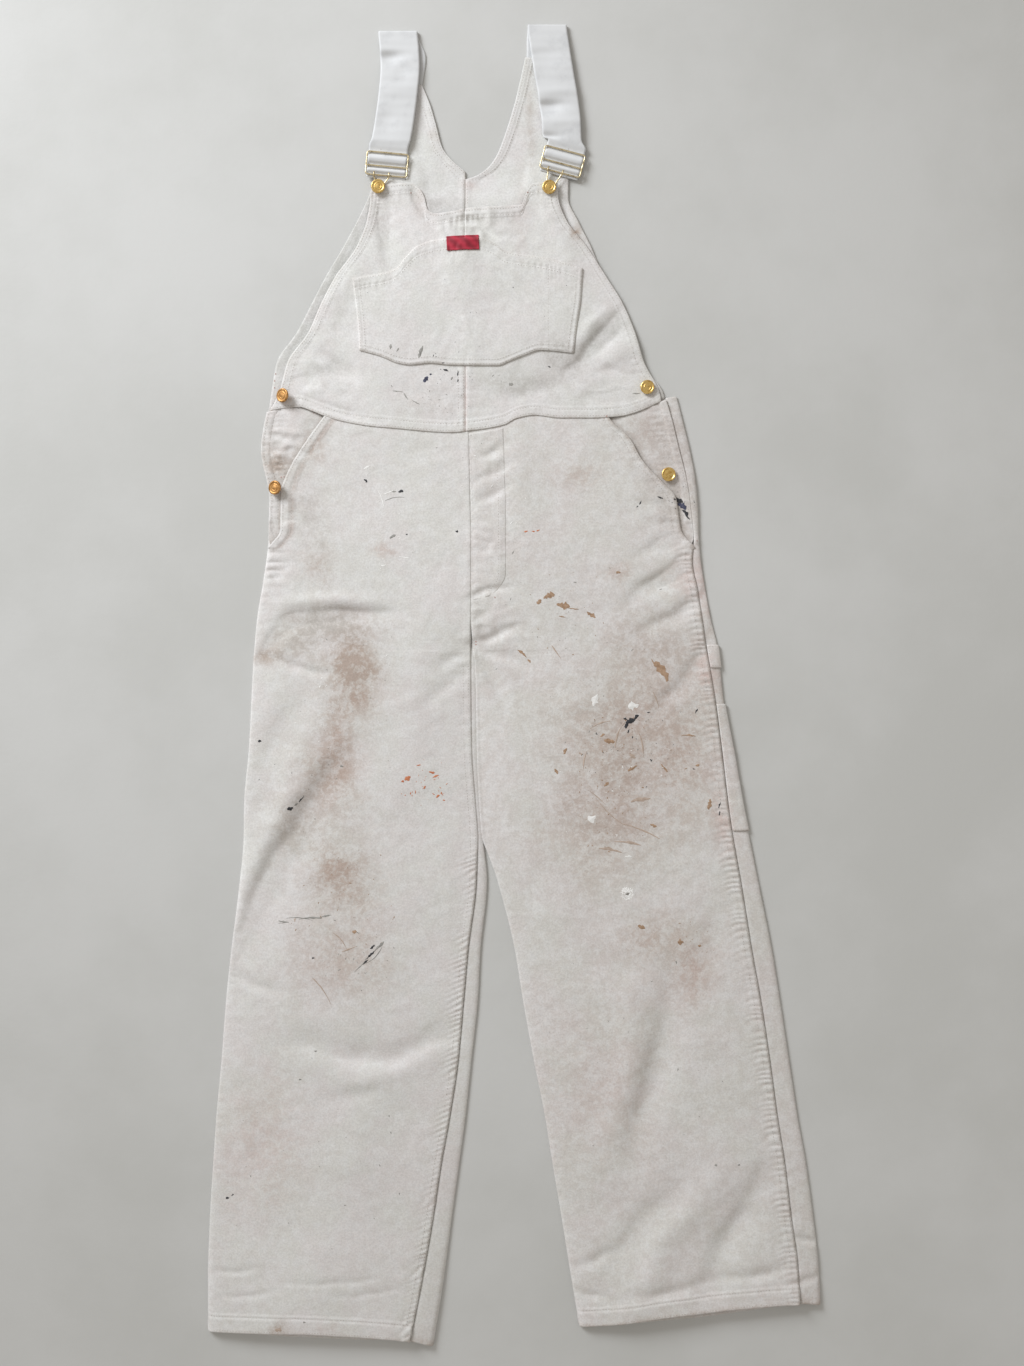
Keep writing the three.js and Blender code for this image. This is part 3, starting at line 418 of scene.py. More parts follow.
# A doubled strip of cloth along an edge, with the groove that its stitching pulls.
def doubled(aside, depth, rise=0.9, groove=0.5):
    return rise * (1 - easeStep(aside, depth - 0.8, depth + 1.2)) - groove * hump(aside - depth + 2, 1.4)


# The turned-up hem of a leg: a raised band that twists a little, with puckers above its stitching.
def hemBand(along, aside, seed):
    twist = along + 0.9 * aside + 4 * softNoise(along, aside, 16, seed)
    rope = 0.35 * np.sin(2 * np.pi * twist / 13) * hump(aside - hemDepth / 2, 8)
    above = puckers(along, aside - hemDepth, "leg hem", seed)
    return doubled(aside, hemDepth, 1.2, 0.9) + rope + above


# An edge that rolls down to the layer below within a short reach.
def rolled(z, aside, reach, low):
    t = np.clip(aside / reach, 0, 1)
    return low + (z - low) * np.sqrt(np.clip(1 - (1 - t) ** 2, 0, 1))


# How the layers lie, in mm
loft = {
    "slack": 2.8,
    "legSlack": 4.4,
    "hem": 5.0,
    "broad": 0.9,
    "medium": 0.4,
    "small": 0.2,
    "creases": 1.35,
    "lowest": 2.6,
    "overHip": 4.1,
}
hipFace = 2 * cloth + seamGap


def arch(across):
    return np.sin(np.pi * np.clip(across, 0, 1)) ** 0.6


def overHip(x, y):
    aside = np.minimum(np.abs(x - leftMouthAt(y)), np.abs(x - rightMouthAt(y)))
    beside = 1 - easeStep(aside, hipLap + 12, hipLap + 60)
    aboveFoot = easeStep(y, hipFoot - 60, hipFoot - 12)
    return beside * aboveFoot * (1 - easeStep(y, waistLevel + 20, waistLevel + 60))


def frontTop(x, y):
    left = np.where(y > waistLevel, backLeft(y), leftOuter(y))
    right = np.where(y > waistLevel, backRight(y), rightFold(y))
    across = (x - left) / (right - left)
    onLeft = x < (leftFold(y) + rightInner(y)) / 2
    inLeft = (x - left) / (leftFold(y) - left)
    inRight = (x - rightInner(y)) / (right - rightInner(y))
    inLeg = np.where(onLeft, inLeft, inRight)
    legs = 1 - easeStep(y, inseamLevel - 60, crotchLevel + 25)
    nearHem = 1 - easeStep(y, hemLevel + 5, hemLevel + 150)
    toFold = np.clip(np.where(legs > 0.5, inLeg, across), 0, 1)
    lifted = mix(arch(across), arch(inLeg), legs)
    slack = mix(loft["legSlack"], loft["slack"], easeStep(y, crotchLevel, waistLevel))
    top = 2 * cloth + mix(seamGap, foldGap, toFold) + slack * lifted
    top = top + loft["hem"] * nearHem * (0.35 + 0.65 * lifted)
    hips = overHip(x, y)
    top = np.maximum(top, cloth + (hipFace + seamGap + mouthLift) * hips)
    inner = easeStep(lifted, 0.1, 0.6)
    top = top + inner * loft["broad"] * softNoise(x, y, 75, 11)
    top = top + inner * loft["medium"] * softNoise(x + 0.4 * y, y, 26, 12)
    top = top + (0.4 + 0.6 * inner) * loft["small"] * softNoise(x, y - 0.3 * x, 9, 13)
    top = top + loft["creases"] * creaseHeight(x, y) + crumpleHeight(x, y)
    return np.maximum(top, mix(loft["lowest"], loft["overHip"], hips))


# Soft marks in the cloth, mostly soil, some of them painted shade in creases and under folds: place in the
# photo, half widths, turn, and how brown, grey and pink.
marks = [
    # painted shade beneath the fold high on the left thigh, over its soil
    (332, 624, 38, 14, -8, 0.4, 0.45, 0.0),
    (300, 640, 28, 18, 26, 0.4, 0.3, 0.0),
    (266, 656, 14, 8, 10, 0.55, 0.1, 0.0),
    (355, 666, 21, 25, 0, 0.85, 0.12, 0.1),
    (352, 690, 26, 60, -6, 0.22, 0.08, 0.0),
    (322, 800, 40, 60, 18, 0.2, 0.1, 0.0),
    (358, 702, 22, 16, 0, 0.3, 0.0, 0.1),
    (340, 738, 14, 34, 12, 0.4, 0.0, 0.1),
    (330, 778, 24, 30, 0, 0.4, 0.0, 0.1),
    (318, 569, 14, 18, 10, 0.35, 0.05, 0.0),
    (311, 515, 16, 34, 10, 0.12, 0.22, 0.0),
    (318, 450, 9, 12, 20, 0.35, 0.0, 0.0),
    (384, 551, 10, 7, -8, 0.4, 0.0, 0.2),
    (277, 465, 12, 11, 0, 0.7, 0.25, 0.0),
    (336, 868, 14, 12, 10, 0.65, 0.15, 0.1),
    (344, 884, 28, 34, 10, 0.5, 0.05, 0.1),
    (342, 958, 44, 40, 0, 0.34, 0.05, 0.12),
    (290, 830, 20, 34, 20, 0.2, 0.1, 0.0),
    (281, 1324, 8, 8, 0, 0.5, 0.05, 0.0),
    (330, 1322, 14, 5, 0, 0.15, 0.0, 0.1),
    (262, 1140, 40, 60, 0, 0.12, 0.0, 0.2),
    (640, 706, 58, 52, 0, 0.34, 0.08, 0.08),
    (612, 768, 52, 54, 0, 0.36, 0.08, 0.1),
    (600, 836, 56, 44, 0, 0.3, 0.07, 0.08),
    (690, 770, 34, 60, 0, 0.25, 0.0, 0.1),
    (692, 970, 20, 30, 4, 0.42, 0.0, 0.25),
    (650, 938, 34, 20, 10, 0.34, 0.0, 0.1),
    (652, 640, 36, 24, -20, 0.22, 0.1, 0.0),
    (580, 476, 22, 12, 0, 0.22, 0.0, 0.12),
    (618, 573, 9, 8, 0, 0.45, 0.0, 0.2),
    (602, 1080, 50, 80, 0, 0.12, 0.0, 0.1),
    (708, 590, 12, 32, 10, 0.05, 0.0, 0.42),
    (684, 580, 16, 18, 0, 0.05, 0.0, 0.2),
    (704, 668, 11, 22, 10, 0.2, 0.0, 0.35),
    (722, 812, 10, 26, 10, 0.1, 0.0, 0.35),
    (662, 446, 26, 44, 14, 0.25, 0.4, 0.08),
    (622, 760, 14, 30, 0, 0.12, 0.1, 0.0),
    (606, 830, 32, 10, -10, 0.12, 0.14, 0.0),
    (676, 505, 18, 20, 0, 0.2, 0.2, 0.0),
    (647, 430, 14, 12, 20, 0.25, 0.15, 0.1),
    (576, 234, 6, 8, 20, 0.7, 0.0, 0.0),
    (470, 184, 8, 6, 0, 0.05, 0.0, 0.3),
    # painted shade in the notch at the bib's top edge
    (420, 200, 8, 14, 0, 0.15, 0.1, 0.05),
    (435, 140, 8, 12, 0, 0.15, 0.15, 0.05),
    # painted shade in the trough beside the right arm's hem
    (530, 118, 4, 44, 3, 0.3, 0.1, 0.0),
    # painted shade in the trough near the bib's left edge
    (383, 226, 10, 24, 0, 0.0, 0.3, 0.05),
    # painted shade in the bib's creases and under the pocket's foot
    (562, 358, 26, 14, -24, 0.05, 0.55, 0.05),
    (600, 336, 12, 30, -60, 0.0, 0.45, 0.0),
    (330, 366, 16, 8, 30, 0.0, 0.4, 0.0),
    (524, 385, 46, 14, 0, 0.1, 0.35, 0.0),
    (430, 405, 40, 12, 0, 0.05, 0.2, 0.05),
    # painted shade in the trough beside the right arm's hem, a little pinker
    (522, 210, 8, 60, 0, 0.0, 0.08, 0.12),
]


def tintAt(x, y, base):
    brown, grey, pink = (np.full(np.shape(x), amount) for amount in base)
    for seed, (px, py, wide, tall, turn, addBrown, addGrey, addPink) in enumerate(marks):
        cx, cy = fromPhoto(px, py)
        c, s = cosSin(turn)
        u, v = (x - cx) * c + (y - cy) * s, (y - cy) * c - (x - cx) * s
        scale = photo["mmPerPixel"]
        away = np.hypot(u / (wide * scale), v / (tall * scale))
        away = away * (1 + 0.25 * softNoise(x, y, 0.5 * min(wide, tall) + 4, 200 + seed))
        strength = np.exp(-(away**2))
        brown = brown + addBrown * strength
        grey = grey + addGrey * strength
        pink = pink + addPink * strength
    return np.stack([brown, grey, pink, np.zeros(np.shape(x))], axis=-1)


# Colours are sRGB hex, turned linear for Blender.
def linear(hexCode):
    channels = [int(hexCode[i : i + 2], 16) / 255 for i in (0, 2, 4)]
    return [c / 12.92 if c <= 0.04045 else ((c + 0.055) / 1.055) ** 2.4 for c in channels] + [1]


def newMaterial(name):
    material = bpy.data.materials.new(name)
    material.use_nodes = True
    tree = material.node_tree
    tree.nodes.clear()
    return material, tree


# Adds one node: its settings, then its inputs by name, or by number as i0, i1 and so on. An input is a
# value or an output of another node. It gives back the node's outputs.
def addNode(tree, kind, settings=None, **inputs):
    node = tree.nodes.new("ShaderNode" + kind)
    for key, value in (settings or {}).items():
        setattr(node, key, value)
    for key, value in inputs.items():
        numbered = key[0] == "i" and key[1:].isdigit()
        socket = node.inputs[int(key[1:]) if numbered else key.replace("_", " ")]
        if isinstance(value, bpy.types.NodeSocket):
            tree.links.new(value, socket)
        else:
            socket.default_value = value
    return node.outputs


smooth = {"interpolation_type": "SMOOTHSTEP"}  # from a low to a high value, with a soft start and end
blended = {"data_type": "RGBA", "blend_type": "MIX"}  # two colours by a factor
multiplied = {"data_type": "RGBA", "blend_type": "MULTIPLY"}

# A wave texture draws a band each 314 mm divided by its scale, and a slanting one each 444 mm.
drill = {
    "clean": "e0e0e0",
    "greened": "d7d7d1",
    "pinked": "dbd6d4",
    "brown": "ab9889",
    "grey": "b4b4b0",
    "pink": "d4bcb7",
    "fleck": "c9c4be",
    "rippleScale": 22.9167,  # a faint slanting ripple each 19 mm; the rib itself is too fine to be seen
    "roughness": 0.92,
}


# Washed cotton drill: a matt white cloth, crinkled and grained, greyed in the wash and soiled in use, with
# the painted shade that its tint attribute carries in places
def cottonDrill(name, settings):
    material, tree = newMaterial(name)
    place = addNode(tree, "TexCoord")["Object"]
    surface = addNode(tree, "UVMap")[0]
    tint = addNode(tree, "Attribute", {"attribute_name": "tint"})["Color"]
    channels = addNode(tree, "SeparateColor", None, Color=tint)
    cloudy = addNode(tree, "TexNoise", None, Vector=place, Scale=14.0, Detail=5.0, Roughness=0.62)[0]
    ragged = addNode(tree, "TexNoise", None, Vector=place, Scale=80.0, Detail=7.0, Roughness=0.72)[0]
    crumpled = addNode(tree, "TexNoise", None, Vector=place, Scale=120.0, Detail=3.0, Roughness=0.6)[0]
    crinkled = addNode(
        tree,
        "TexNoise",
        {"noise_type": "RIDGED_MULTIFRACTAL", "normalize": True},
        Vector=place,
        Scale=26.0,
        Detail=4.0,
        Roughness=0.45,
        Lacunarity=2.3,
        Distortion=0.5,
    )[0]
    streaky = addNode(
        tree, "TexNoise", None, Vector=place, Scale=150.0, Detail=6.0, Roughness=0.75, Distortion=0.6
    )[0]
    worn = addNode(tree, "Math", {"operation": "ADD"}, i0=ragged, i1=streaky)[0]
    worn = addNode(tree, "Math", {"operation": "MULTIPLY"}, i0=worn, i1=0.5)[0]
    grainy = addNode(tree, "TexNoise", None, Vector=place, Scale=520.0, Detail=3.0, Roughness=0.7)[0]
    slanting, scale = {"bands_direction": "DIAGONAL"}, settings["rippleScale"]
    ripple = addNode(tree, "TexWave", slanting, Vector=surface, Scale=scale, Distortion=0.6, Detail=1.0)[0]
    patchy = addNode(tree, "MapRange", smooth, i0=cloudy, i1=0.38, i2=0.62)[0]
    pinked, greened = linear(settings["pinked"]), linear(settings["greened"])
    colour = addNode(tree, "Mix", blended, i0=patchy, i6=pinked, i7=greened)[2]
    bleached = addNode(tree, "MapRange", smooth, i0=ragged, i1=0.36, i2=0.58, i3=0.62, i4=0.34)[0]
    colour = addNode(tree, "Mix", blended, i0=bleached, i6=colour, i7=linear(settings["clean"]))[2]
    scuffed = addNode(tree, "MapRange", smooth, i0=streaky, i1=0.55, i2=0.75, i3=0.0, i4=0.24)[0]
    colour = addNode(tree, "Mix", blended, i0=scuffed, i6=colour, i7=linear(settings["fleck"]))[2]
    wear = addNode(tree, "MapRange", smooth, i0=worn, i1=0.42, i2=0.58, i3=0.5, i4=1.35)[0]
    for channel, shade in enumerate(("brown", "grey", "pink")):
        clamped = {"operation": "MULTIPLY", "use_clamp": True}
        amount = addNode(tree, "Math", clamped, i0=channels[channel], i1=wear)[0]
        colour = addNode(tree, "Mix", blended, i0=amount, i6=colour, i7=linear(settings[shade]))[2]
    fleck = addNode(tree, "MapRange", smooth, i0=grainy, i1=0.3, i2=0.7, i3=0.9, i4=1.06)[0]
    colour = addNode(tree, "Mix", multiplied, i0=1.0, i6=colour, i7=fleck)[2]
    relief = addNode(tree, "Bump", None, Strength=0.35, Distance=0.0012, Height=crinkled)[0]
    for height, much, depth in ((crumpled, 0.5, 0.0005), (grainy, 0.45, 0.0004), (ripple, 0.3, 0.0002)):
        relief = addNode(tree, "Bump", None, Strength=much, Distance=depth, Height=height, Normal=relief)[0]
    shader = addNode(
        tree,
        "BsdfPrincipled",
        None,
        Base_Color=colour,
        Roughness=settings["roughness"],
        Sheen_Weight=0.12,
        Sheen_Roughness=0.5,
        Specular_IOR_Level=0.2,
        Normal=relief,
    )
    addNode(tree, "OutputMaterial", None, Surface=shader[0])
    return material


washedDrill = cottonDrill("washed cotton drill", drill)

webbing = {"light": "d4d5d6", "shade": "b6b7b9", "ribScale": 31.25, "cordScale": 35.7143, "roughness": 0.8}


# Elastic webbing: a closely knit band, with soft ribs across it and cords along it that catch the light
def elasticWebbing(settings):
    material, tree = newMaterial("ribbed elastic webbing")
    surface = addNode(tree, "UVMap")[0]
    place = addNode(tree, "TexCoord")["Object"]
    acrossIt, ribScale = {"bands_direction": "Y"}, settings["ribScale"]
    ribs = addNode(tree, "TexWave", acrossIt, Vector=surface, Scale=ribScale, Distortion=0.3)[0]
    alongIt, cordScale = {"bands_direction": "X"}, settings["cordScale"]
    cords = addNode(tree, "TexWave", alongIt, Vector=surface, Scale=cordScale, Distortion=0.2)[0]
    worn = addNode(tree, "TexNoise", None, Vector=place, Scale=45.0, Detail=5.0, Roughness=0.65)[0]
    dulled = addNode(tree, "MapRange", smooth, i0=worn, i1=0.45, i2=0.8, i3=0.0, i4=0.6)[0]
    light, shade = linear(settings["light"]), linear(settings["shade"])
    colour = addNode(tree, "Mix", blended, i0=dulled, i6=light, i7=shade)[2]
    relief = addNode(tree, "Bump", None, Strength=0.3, Distance=0.0003, Height=ribs)[0]
    relief = addNode(tree, "Bump", None, Strength=0.05, Distance=0.0003, Height=cords, Normal=relief)[0]
    shader = addNode(
        tree,
        "BsdfPrincipled",
        None,
        Base_Color=colour,
        Roughness=settings["roughness"],
        Sheen_Weight=0.2,
        Specular_IOR_Level=0.35,
        Normal=relief,
    )
    addNode(tree, "OutputMaterial", None, Surface=shader[0])
    return material


whiteElastic = elasticWebbing(webbing)

ribbon = {"dark": "8a1228", "light": "b01f38", "bandScale": 45.0, "roughness": 0.7}


# Red twill ribbon: slightly shiny, in soft slanting bands of two reds
def redTwillRibbon(settings):
    material, tree = newMaterial("red twill ribbon")
    surface = addNode(tree, "UVMap")[0]
    slanting, scale = {"bands_direction": "DIAGONAL"}, settings["bandScale"]
    bands = addNode(tree, "TexWave", slanting, Vector=surface, Scale=scale, Distortion=0.4)[0]
    dark, light = linear(settings["dark"]), linear(settings["light"])
    colour = addNode(tree, "Mix", blended, i0=bands, i6=dark, i7=light)[2]
    relief = addNode(tree, "Bump", None, Strength=0.5, Distance=0.0003, Height=bands)[0]
    rough = settings["roughness"]
    shader = addNode(
        tree, "BsdfPrincipled", None, Base_Color=colour, Roughness=rough, Sheen_Weight=0.2, Normal=relief
    )
    addNode(tree, "OutputMaterial", None, Surface=shader[0])
    return material


redTwill = redTwillRibbon(ribbon)


# Pressed metal with a thin plating: bright on top, dull and browner where it is worn, in patches of
# about size mm
def platedMetal(name, bright, dull, roughness, size):
    material, tree = newMaterial(name)
    place = addNode(tree, "TexCoord")["Object"]
    worn = addNode(tree, "TexNoise", None, Vector=place, Scale=1000 / size, Detail=5.0, Roughness=0.65)[0]
    patchy = addNode(tree, "MapRange", smooth, i0=worn, i1=0.42, i2=0.68)[0]
    colour = addNode(tree, "Mix", blended, i0=patchy, i6=linear(bright), i7=linear(dull))[2]
    rough = addNode(tree, "MapRange", smooth, i0=worn, i1=0.3, i2=0.75, i3=roughness, i4=roughness + 0.25)[0]
    relief = addNode(tree, "Bump", None, Strength=0.15, Distance=0.0002, Height=worn)[0]
    shader = addNode(
        tree, "BsdfPrincipled", None, Base_Color=colour, Metallic=1.0, Roughness=rough, Normal=relief
    )
    addNode(tree, "OutputMaterial", None, Surface=shader[0])
    return material


goldTone = platedMetal("gold-tone pressed metal", "f0cf86", "b98f4a", 0.26, 3.0)
brassWire = platedMetal("brass-plated wire", "e9dab6", "a8966f", 0.3, 4.0)


# Sewing thread, spun cotton: matt, a little darker than the cloth where it has picked up soil
def cottonThread(name, light, dark):
    material, tree = newMaterial(name)
    place = addNode(tree, "TexCoord")["Object"]
    uneven = addNode(tree, "TexNoise", None, Vector=place, Scale=60.0, Detail=3.0)[0]
    soiled = addNode(tree, "MapRange", smooth, i0=uneven, i1=0.35, i2=0.65)[0]
    colour = addNode(tree, "Mix", blended, i0=soiled, i6=linear(light), i7=linear(dark))[2]
    shader = addNode(tree, "BsdfPrincipled", None, Base_Color=colour, Roughness=0.85, Sheen_Weight=0.1)
    addNode(tree, "OutputMaterial", None, Surface=shader[0])
    return material


paleThread = cottonThread("spun cotton thread", "c9c4be", "a8a099")


# Dried house paint: a thin matt skin, its colour uneven where it has rubbed off
def driedPaint(name, light, dark):
    material, tree = newMaterial(name)
    place = addNode(tree, "TexCoord")["Object"]
    uneven = addNode(tree, "TexNoise", None, Vector=place, Scale=260.0, Detail=5.0, Roughness=0.7)[0]
    rubbed = addNode(tree, "MapRange", smooth, i0=uneven, i1=0.35, i2=0.65)[0]
    colour = addNode(tree, "Mix", blended, i0=rubbed, i6=linear(light), i7=linear(dark))[2]
    relief = addNode(tree, "Bump", None, Strength=0.4, Distance=0.0003, Height=uneven)[0]
    shader = addNode(tree, "BsdfPrincipled", None, Base_Color=colour, Roughness=0.6, Normal=relief)
    addNode(tree, "OutputMaterial", None, Surface=shader[0])
    return material


paints = {
    "brown": driedPaint("dried brown paint", "b0937a", "94775e"),
    "smear": driedPaint("smeared thin brown paint", "bdab9d", "ab998b"),
    "black": driedPaint("dried black paint", "3a3b40", "24252a"),
    "blue": driedPaint("dried blue-black paint", "4a4c63", "2f3145"),
    "grey": driedPaint("dried grey paint", "a3a19c", "85837f"),
    "orange": driedPaint("dried orange paint", "cf8862", "bd6d4a"),
    "white": driedPaint("dried white paint", "efeeec", "e0dfdc"),
}
print("materials made")


# Columns or rows between 0 and 1, closer together towards both ends.
def spread(count, ends=0.5):
    t = np.linspace(0, 1, count)
    return t - (1 - ends) * np.sin(2 * np.pi * t) / (2 * np.pi)


fillSteps = 36  # enough for the points to settle


# A four-sided cut filled with points. Each edge is a line that is read across or down the garment.
def fillCut(across, down, topAt, bottomAt, leftAt, rightAt):
    u, v = np.meshgrid(across, down)
    middle = (float(leftAt(0.0)) + float(rightAt(0.0))) / 2
    y = mix(float(topAt(middle)), float(bottomAt(middle)), v)
    x = mix(leftAt(y), rightAt(y), u)
    for _ in range(fillSteps):
        # half a step at a time, as whole steps swing to and fro where an edge is steep
        x = (x + mix(leftAt(y), rightAt(y), u)) / 2
        y = mix(topAt(x), bottomAt(x), v)
    return x, y


def gridNormals(points):
    down, right = np.gradient(points, axis=0), np.gradient(points, axis=1)
    normal = np.cross(down, right)
    return normal / np.maximum(np.linalg.norm(normal, axis=-1, keepdims=True), 1e-9)


clothFaces = []  # what stitches and paint are laid on
rimBulge = 0.35  # how far the round rim of a wall stands out, as a share of its thickness


# A wall of cloth: the grid is its outer face, with rows down and columns to the right as it is seen
# from outside. Its inner face lies a thickness behind, and its rim is round.
def makeWall(name, x, y, z, thick, material, tint=None):
    points = np.stack([x, y, z], axis=-1)
    rows, columns = x.shape
    thick = np.broadcast_to(thick, x.shape)[..., None]
    inner = points - gridNormals(points) * thick
    inner[..., 2] = np.maximum(inner[..., 2], 0)
    index = np.arange(rows * columns).reshape(rows, columns)
    rim = np.concatenate([index[:, 0], index[-1, 1:], index[-2::-1, -1], index[0, -2:0:-1]])
    towards = np.concatenate([index[:, 1], index[-2, 1:], index[-2::-1, -2], index[1, -2:0:-1]])
    flatOuter, flatInner = points.reshape(-1, 3), inner.reshape(-1, 3)
    outward = flatOuter[rim] - flatOuter[towards]
    outward /= np.maximum(np.linalg.norm(outward, axis=-1, keepdims=True), 1e-9)
    bulge = (flatOuter[rim] + flatInner[rim]) / 2 + outward * rimBulge * thick.reshape(-1, 1)[rim]
    size = rows * columns
    vertices = np.concatenate([flatOuter, flatInner, bulge]) * mm
    a, b = index[:-1, :-1].ravel(), index[1:, :-1].ravel()
    c, d = index[1:, 1:].ravel(), index[:-1, 1:].ravel()
    outerFaces = np.stack([a, b, c, d], axis=-1)
    innerFaces = np.stack([d, c, b, a], axis=-1) + size
    around = np.arange(len(rim))
    following = np.roll(around, -1)
    bulgeHere, bulgeNext = around + 2 * size, following + 2 * size
    toBulge = np.stack([rim[following], rim, bulgeHere, bulgeNext], axis=-1)
    toInner = np.stack([bulgeNext, bulgeHere, rim + size, rim[following] + size], axis=-1)
    faces = np.concatenate([outerFaces, innerFaces, toBulge, toInner])
    mesh = bpy.data.meshes.new(name)
    mesh.from_pydata(vertices.tolist(), [], faces.tolist())
    mesh.shade_smooth()
    right = np.linalg.norm(np.diff(points, axis=1), axis=-1)
    down = np.linalg.norm(np.diff(points, axis=0), axis=-1)
    u = np.concatenate([np.zeros((rows, 1)), np.cumsum(right, axis=1)], axis=1)
    v = np.concatenate([np.zeros((1, columns)), np.cumsum(down, axis=0)], axis=0)
    flat = np.stack([u.ravel(), -v.ravel()], axis=-1) * mm
    flat = np.concatenate([flat, flat, flat[rim]])
    loops = np.empty(len(mesh.loops), int)
    mesh.loops.foreach_get("vertex_index", loops)
    mesh.uv_layers.new(name="UVMap").data.foreach_set("uv", flat[loops].ravel())
    if tint is not None:
        colours = tint.reshape(-1, 4)
        colours = np.concatenate([colours, colours, colours[rim]])
        mesh.attributes.new("tint", "FLOAT_COLOR", "POINT").data.foreach_set("color", colours.ravel())
    mesh.materials.append(material)
    piece = bpy.data.objects.new(name, mesh)
    bpy.context.collection.objects.link(piece)
    clothFaces.append((vertices[:size], outerFaces))
    return piece


# Ties a finished piece to the frame: it rides on the one body and stands for its CAD node.
def settle(piece, slot, *nodes):
    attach(piece, "root")
    if nodes:
        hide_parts(*nodes)


# Opens a wall out flat from its first column, as its cut would be reckoned; nothing is kept from it.
def declareSheet(piece, x, y, z, held, *restsOn):
    opened = np.cumsum(np.hypot(np.diff(x, axis=1), np.diff(z, axis=1)), axis=1)
    x = np.concatenate([x[:, :1], x[:, :1] + opened], axis=1)


# Darkening in the troughs of a relief: painted shade, and the soil that stays there and is rubbed off its
# ridges.
def troughShadeAndSoil(tint, relief, depth, brown=0.0, grey=0.0, pink=0.0):
    amount = np.clip(-relief / depth, 0, 1)[..., None]
    return tint + amount * np.array([brown, grey, pink, 0])


# Darkening along an edge, where hands and floors leave their soil; at some seams, steps and layered edges it
# is painted shade.
def edgeShadeAndSoil(tint, aside, reach, brown=0.0, grey=0.0, pink=0.0):
    amount = hump(aside, reach)[..., None]
    return tint + amount * np.array([brown, grey, pink, 0])


single, doubledHem = 1.0, 2.0  # thickness of the drill, and of a hem that is turned up, in mm


# A folded one is opened out from its last column, on the floor. A straight one is a strip that was cut
# straight and lies aslant.
def drillPiece(node, x, y, z, tint, held, *restsOn, thick=single, straight=False):
    piece = makeWall(node + "_cloth", x, y, z, thick, washedDrill, tint)
    settle(piece, "cotton_drill", node)
    if held == "folded":
        declareSheet(piece, x[:, ::-1], y[:, ::-1], z[:, ::-1], held, *restsOn)
    else:
        declareSheet(piece, x - x[:, :1] if straight else x, y, 0 * z, held, *restsOn)


seamHalf = seamGap / 2
outOfReach = 99  # a distance to an edge that isn't there
legGrid = {"down": 780, "across": 57}


def leftFrontEdge(y):
    return np.where(np.asarray(y) > mouthFoot, leftMouthAt(y), leftOuter(y))


def rightFrontEdge(y):
    return np.where(np.asarray(y) > mouthFoot, rightMouthAt(y), rightSeam(y) - seamHalf)


def belowCrotch(y):
    return 1 - easeStep(y, inseamLevel, crotchLevel)


meeting = (-190, -165)  # above this the legs meet, and their inner seams hardly show
tuckedIn = (60, crotchLevel + 10)  # above this the left front is tucked under the right one
legEdge, innerEdge = 2.3, 3.6  # height of a front leg's edge off the floor, and where the legs meet

# Left front leg: its inner seam is felled and puckered, and its outer edge rolls to the back
x, y = fillCut(
    spread(legGrid["across"], 0.45),
    np.linspace(0, 1, legGrid["down"]),
    lambda x: waistAt(x) - seamHalf,
    leftHemAt,
    leftFrontEdge,
    lambda y: leftSeam(y) - seamHalf + 0.8 * easeStep(y, *meeting) + 0.8 * easeStep(y, *tuckedIn),
)
z = frontTop(x, y)
toSeam, toHem, toWaist = leftSeam(y) - x, y - leftHemAt(x), waistAt(x) - y
toMouth = np.where(y > mouthFoot, x - leftMouthAt(y), outOfReach)
toOuter = np.where(y > mouthFoot, outOfReach, x - leftOuter(y))
inLeg = 1 - easeStep(y, *meeting)
felled = inLeg * puckers(y, toSeam, "left inseam")
z = z + inLeg * doubled(toSeam, 8, 0.6, 0.35) + felled
z = z + (1 - inLeg) * (doubled(toSeam, 5, 0.3, 0.15) + puckers(y, toSeam, "left rise"))
z = z + puckers(y, toOuter, "left edge") + hemBand(x, toHem, 37)
z = z + hump(y - 140, 45) * puckers(y, toOuter, "left edge below the pocket")
z = z + puckers(x, toWaist, "left waist") - 0.3 * hump(toWaist, 5)
z = z + doubled(toMouth, 13, 0.9, 0.9) + puckers(y, toMouth - 6, "left pocket mouth")
z = rolled(z, toOuter, 7, legEdge)
z = mix(z, rolled(z, toSeam + 1.6, 3, z - 0.5), easeStep(y, *tuckedIn))
# painted shade and soil in the troughs of the inseam's puckers
tint = troughShadeAndSoil(tintAt(x, y, (0.06, 0.04, 0.03)), felled, 0.7, brown=0.25, grey=0.1, pink=0.1)
# painted shade and soil in a thin line along the inner seam
tint = edgeShadeAndSoil(tint, toSeam + 9 * (1 - inLeg), 1.5, brown=0.3, grey=0.3)
tint = edgeShadeAndSoil(tint, toHem, 3, brown=0.12)
tint = edgeShadeAndSoil(tint, toMouth - 12, 3, brown=0.25, pink=0.1)
thick = np.where(toHem < hemDepth, doubledHem, single)
drillPiece("front_leg_left", x, y, z, tint, "laid", "back_leg_left_cloth", thick=thick)

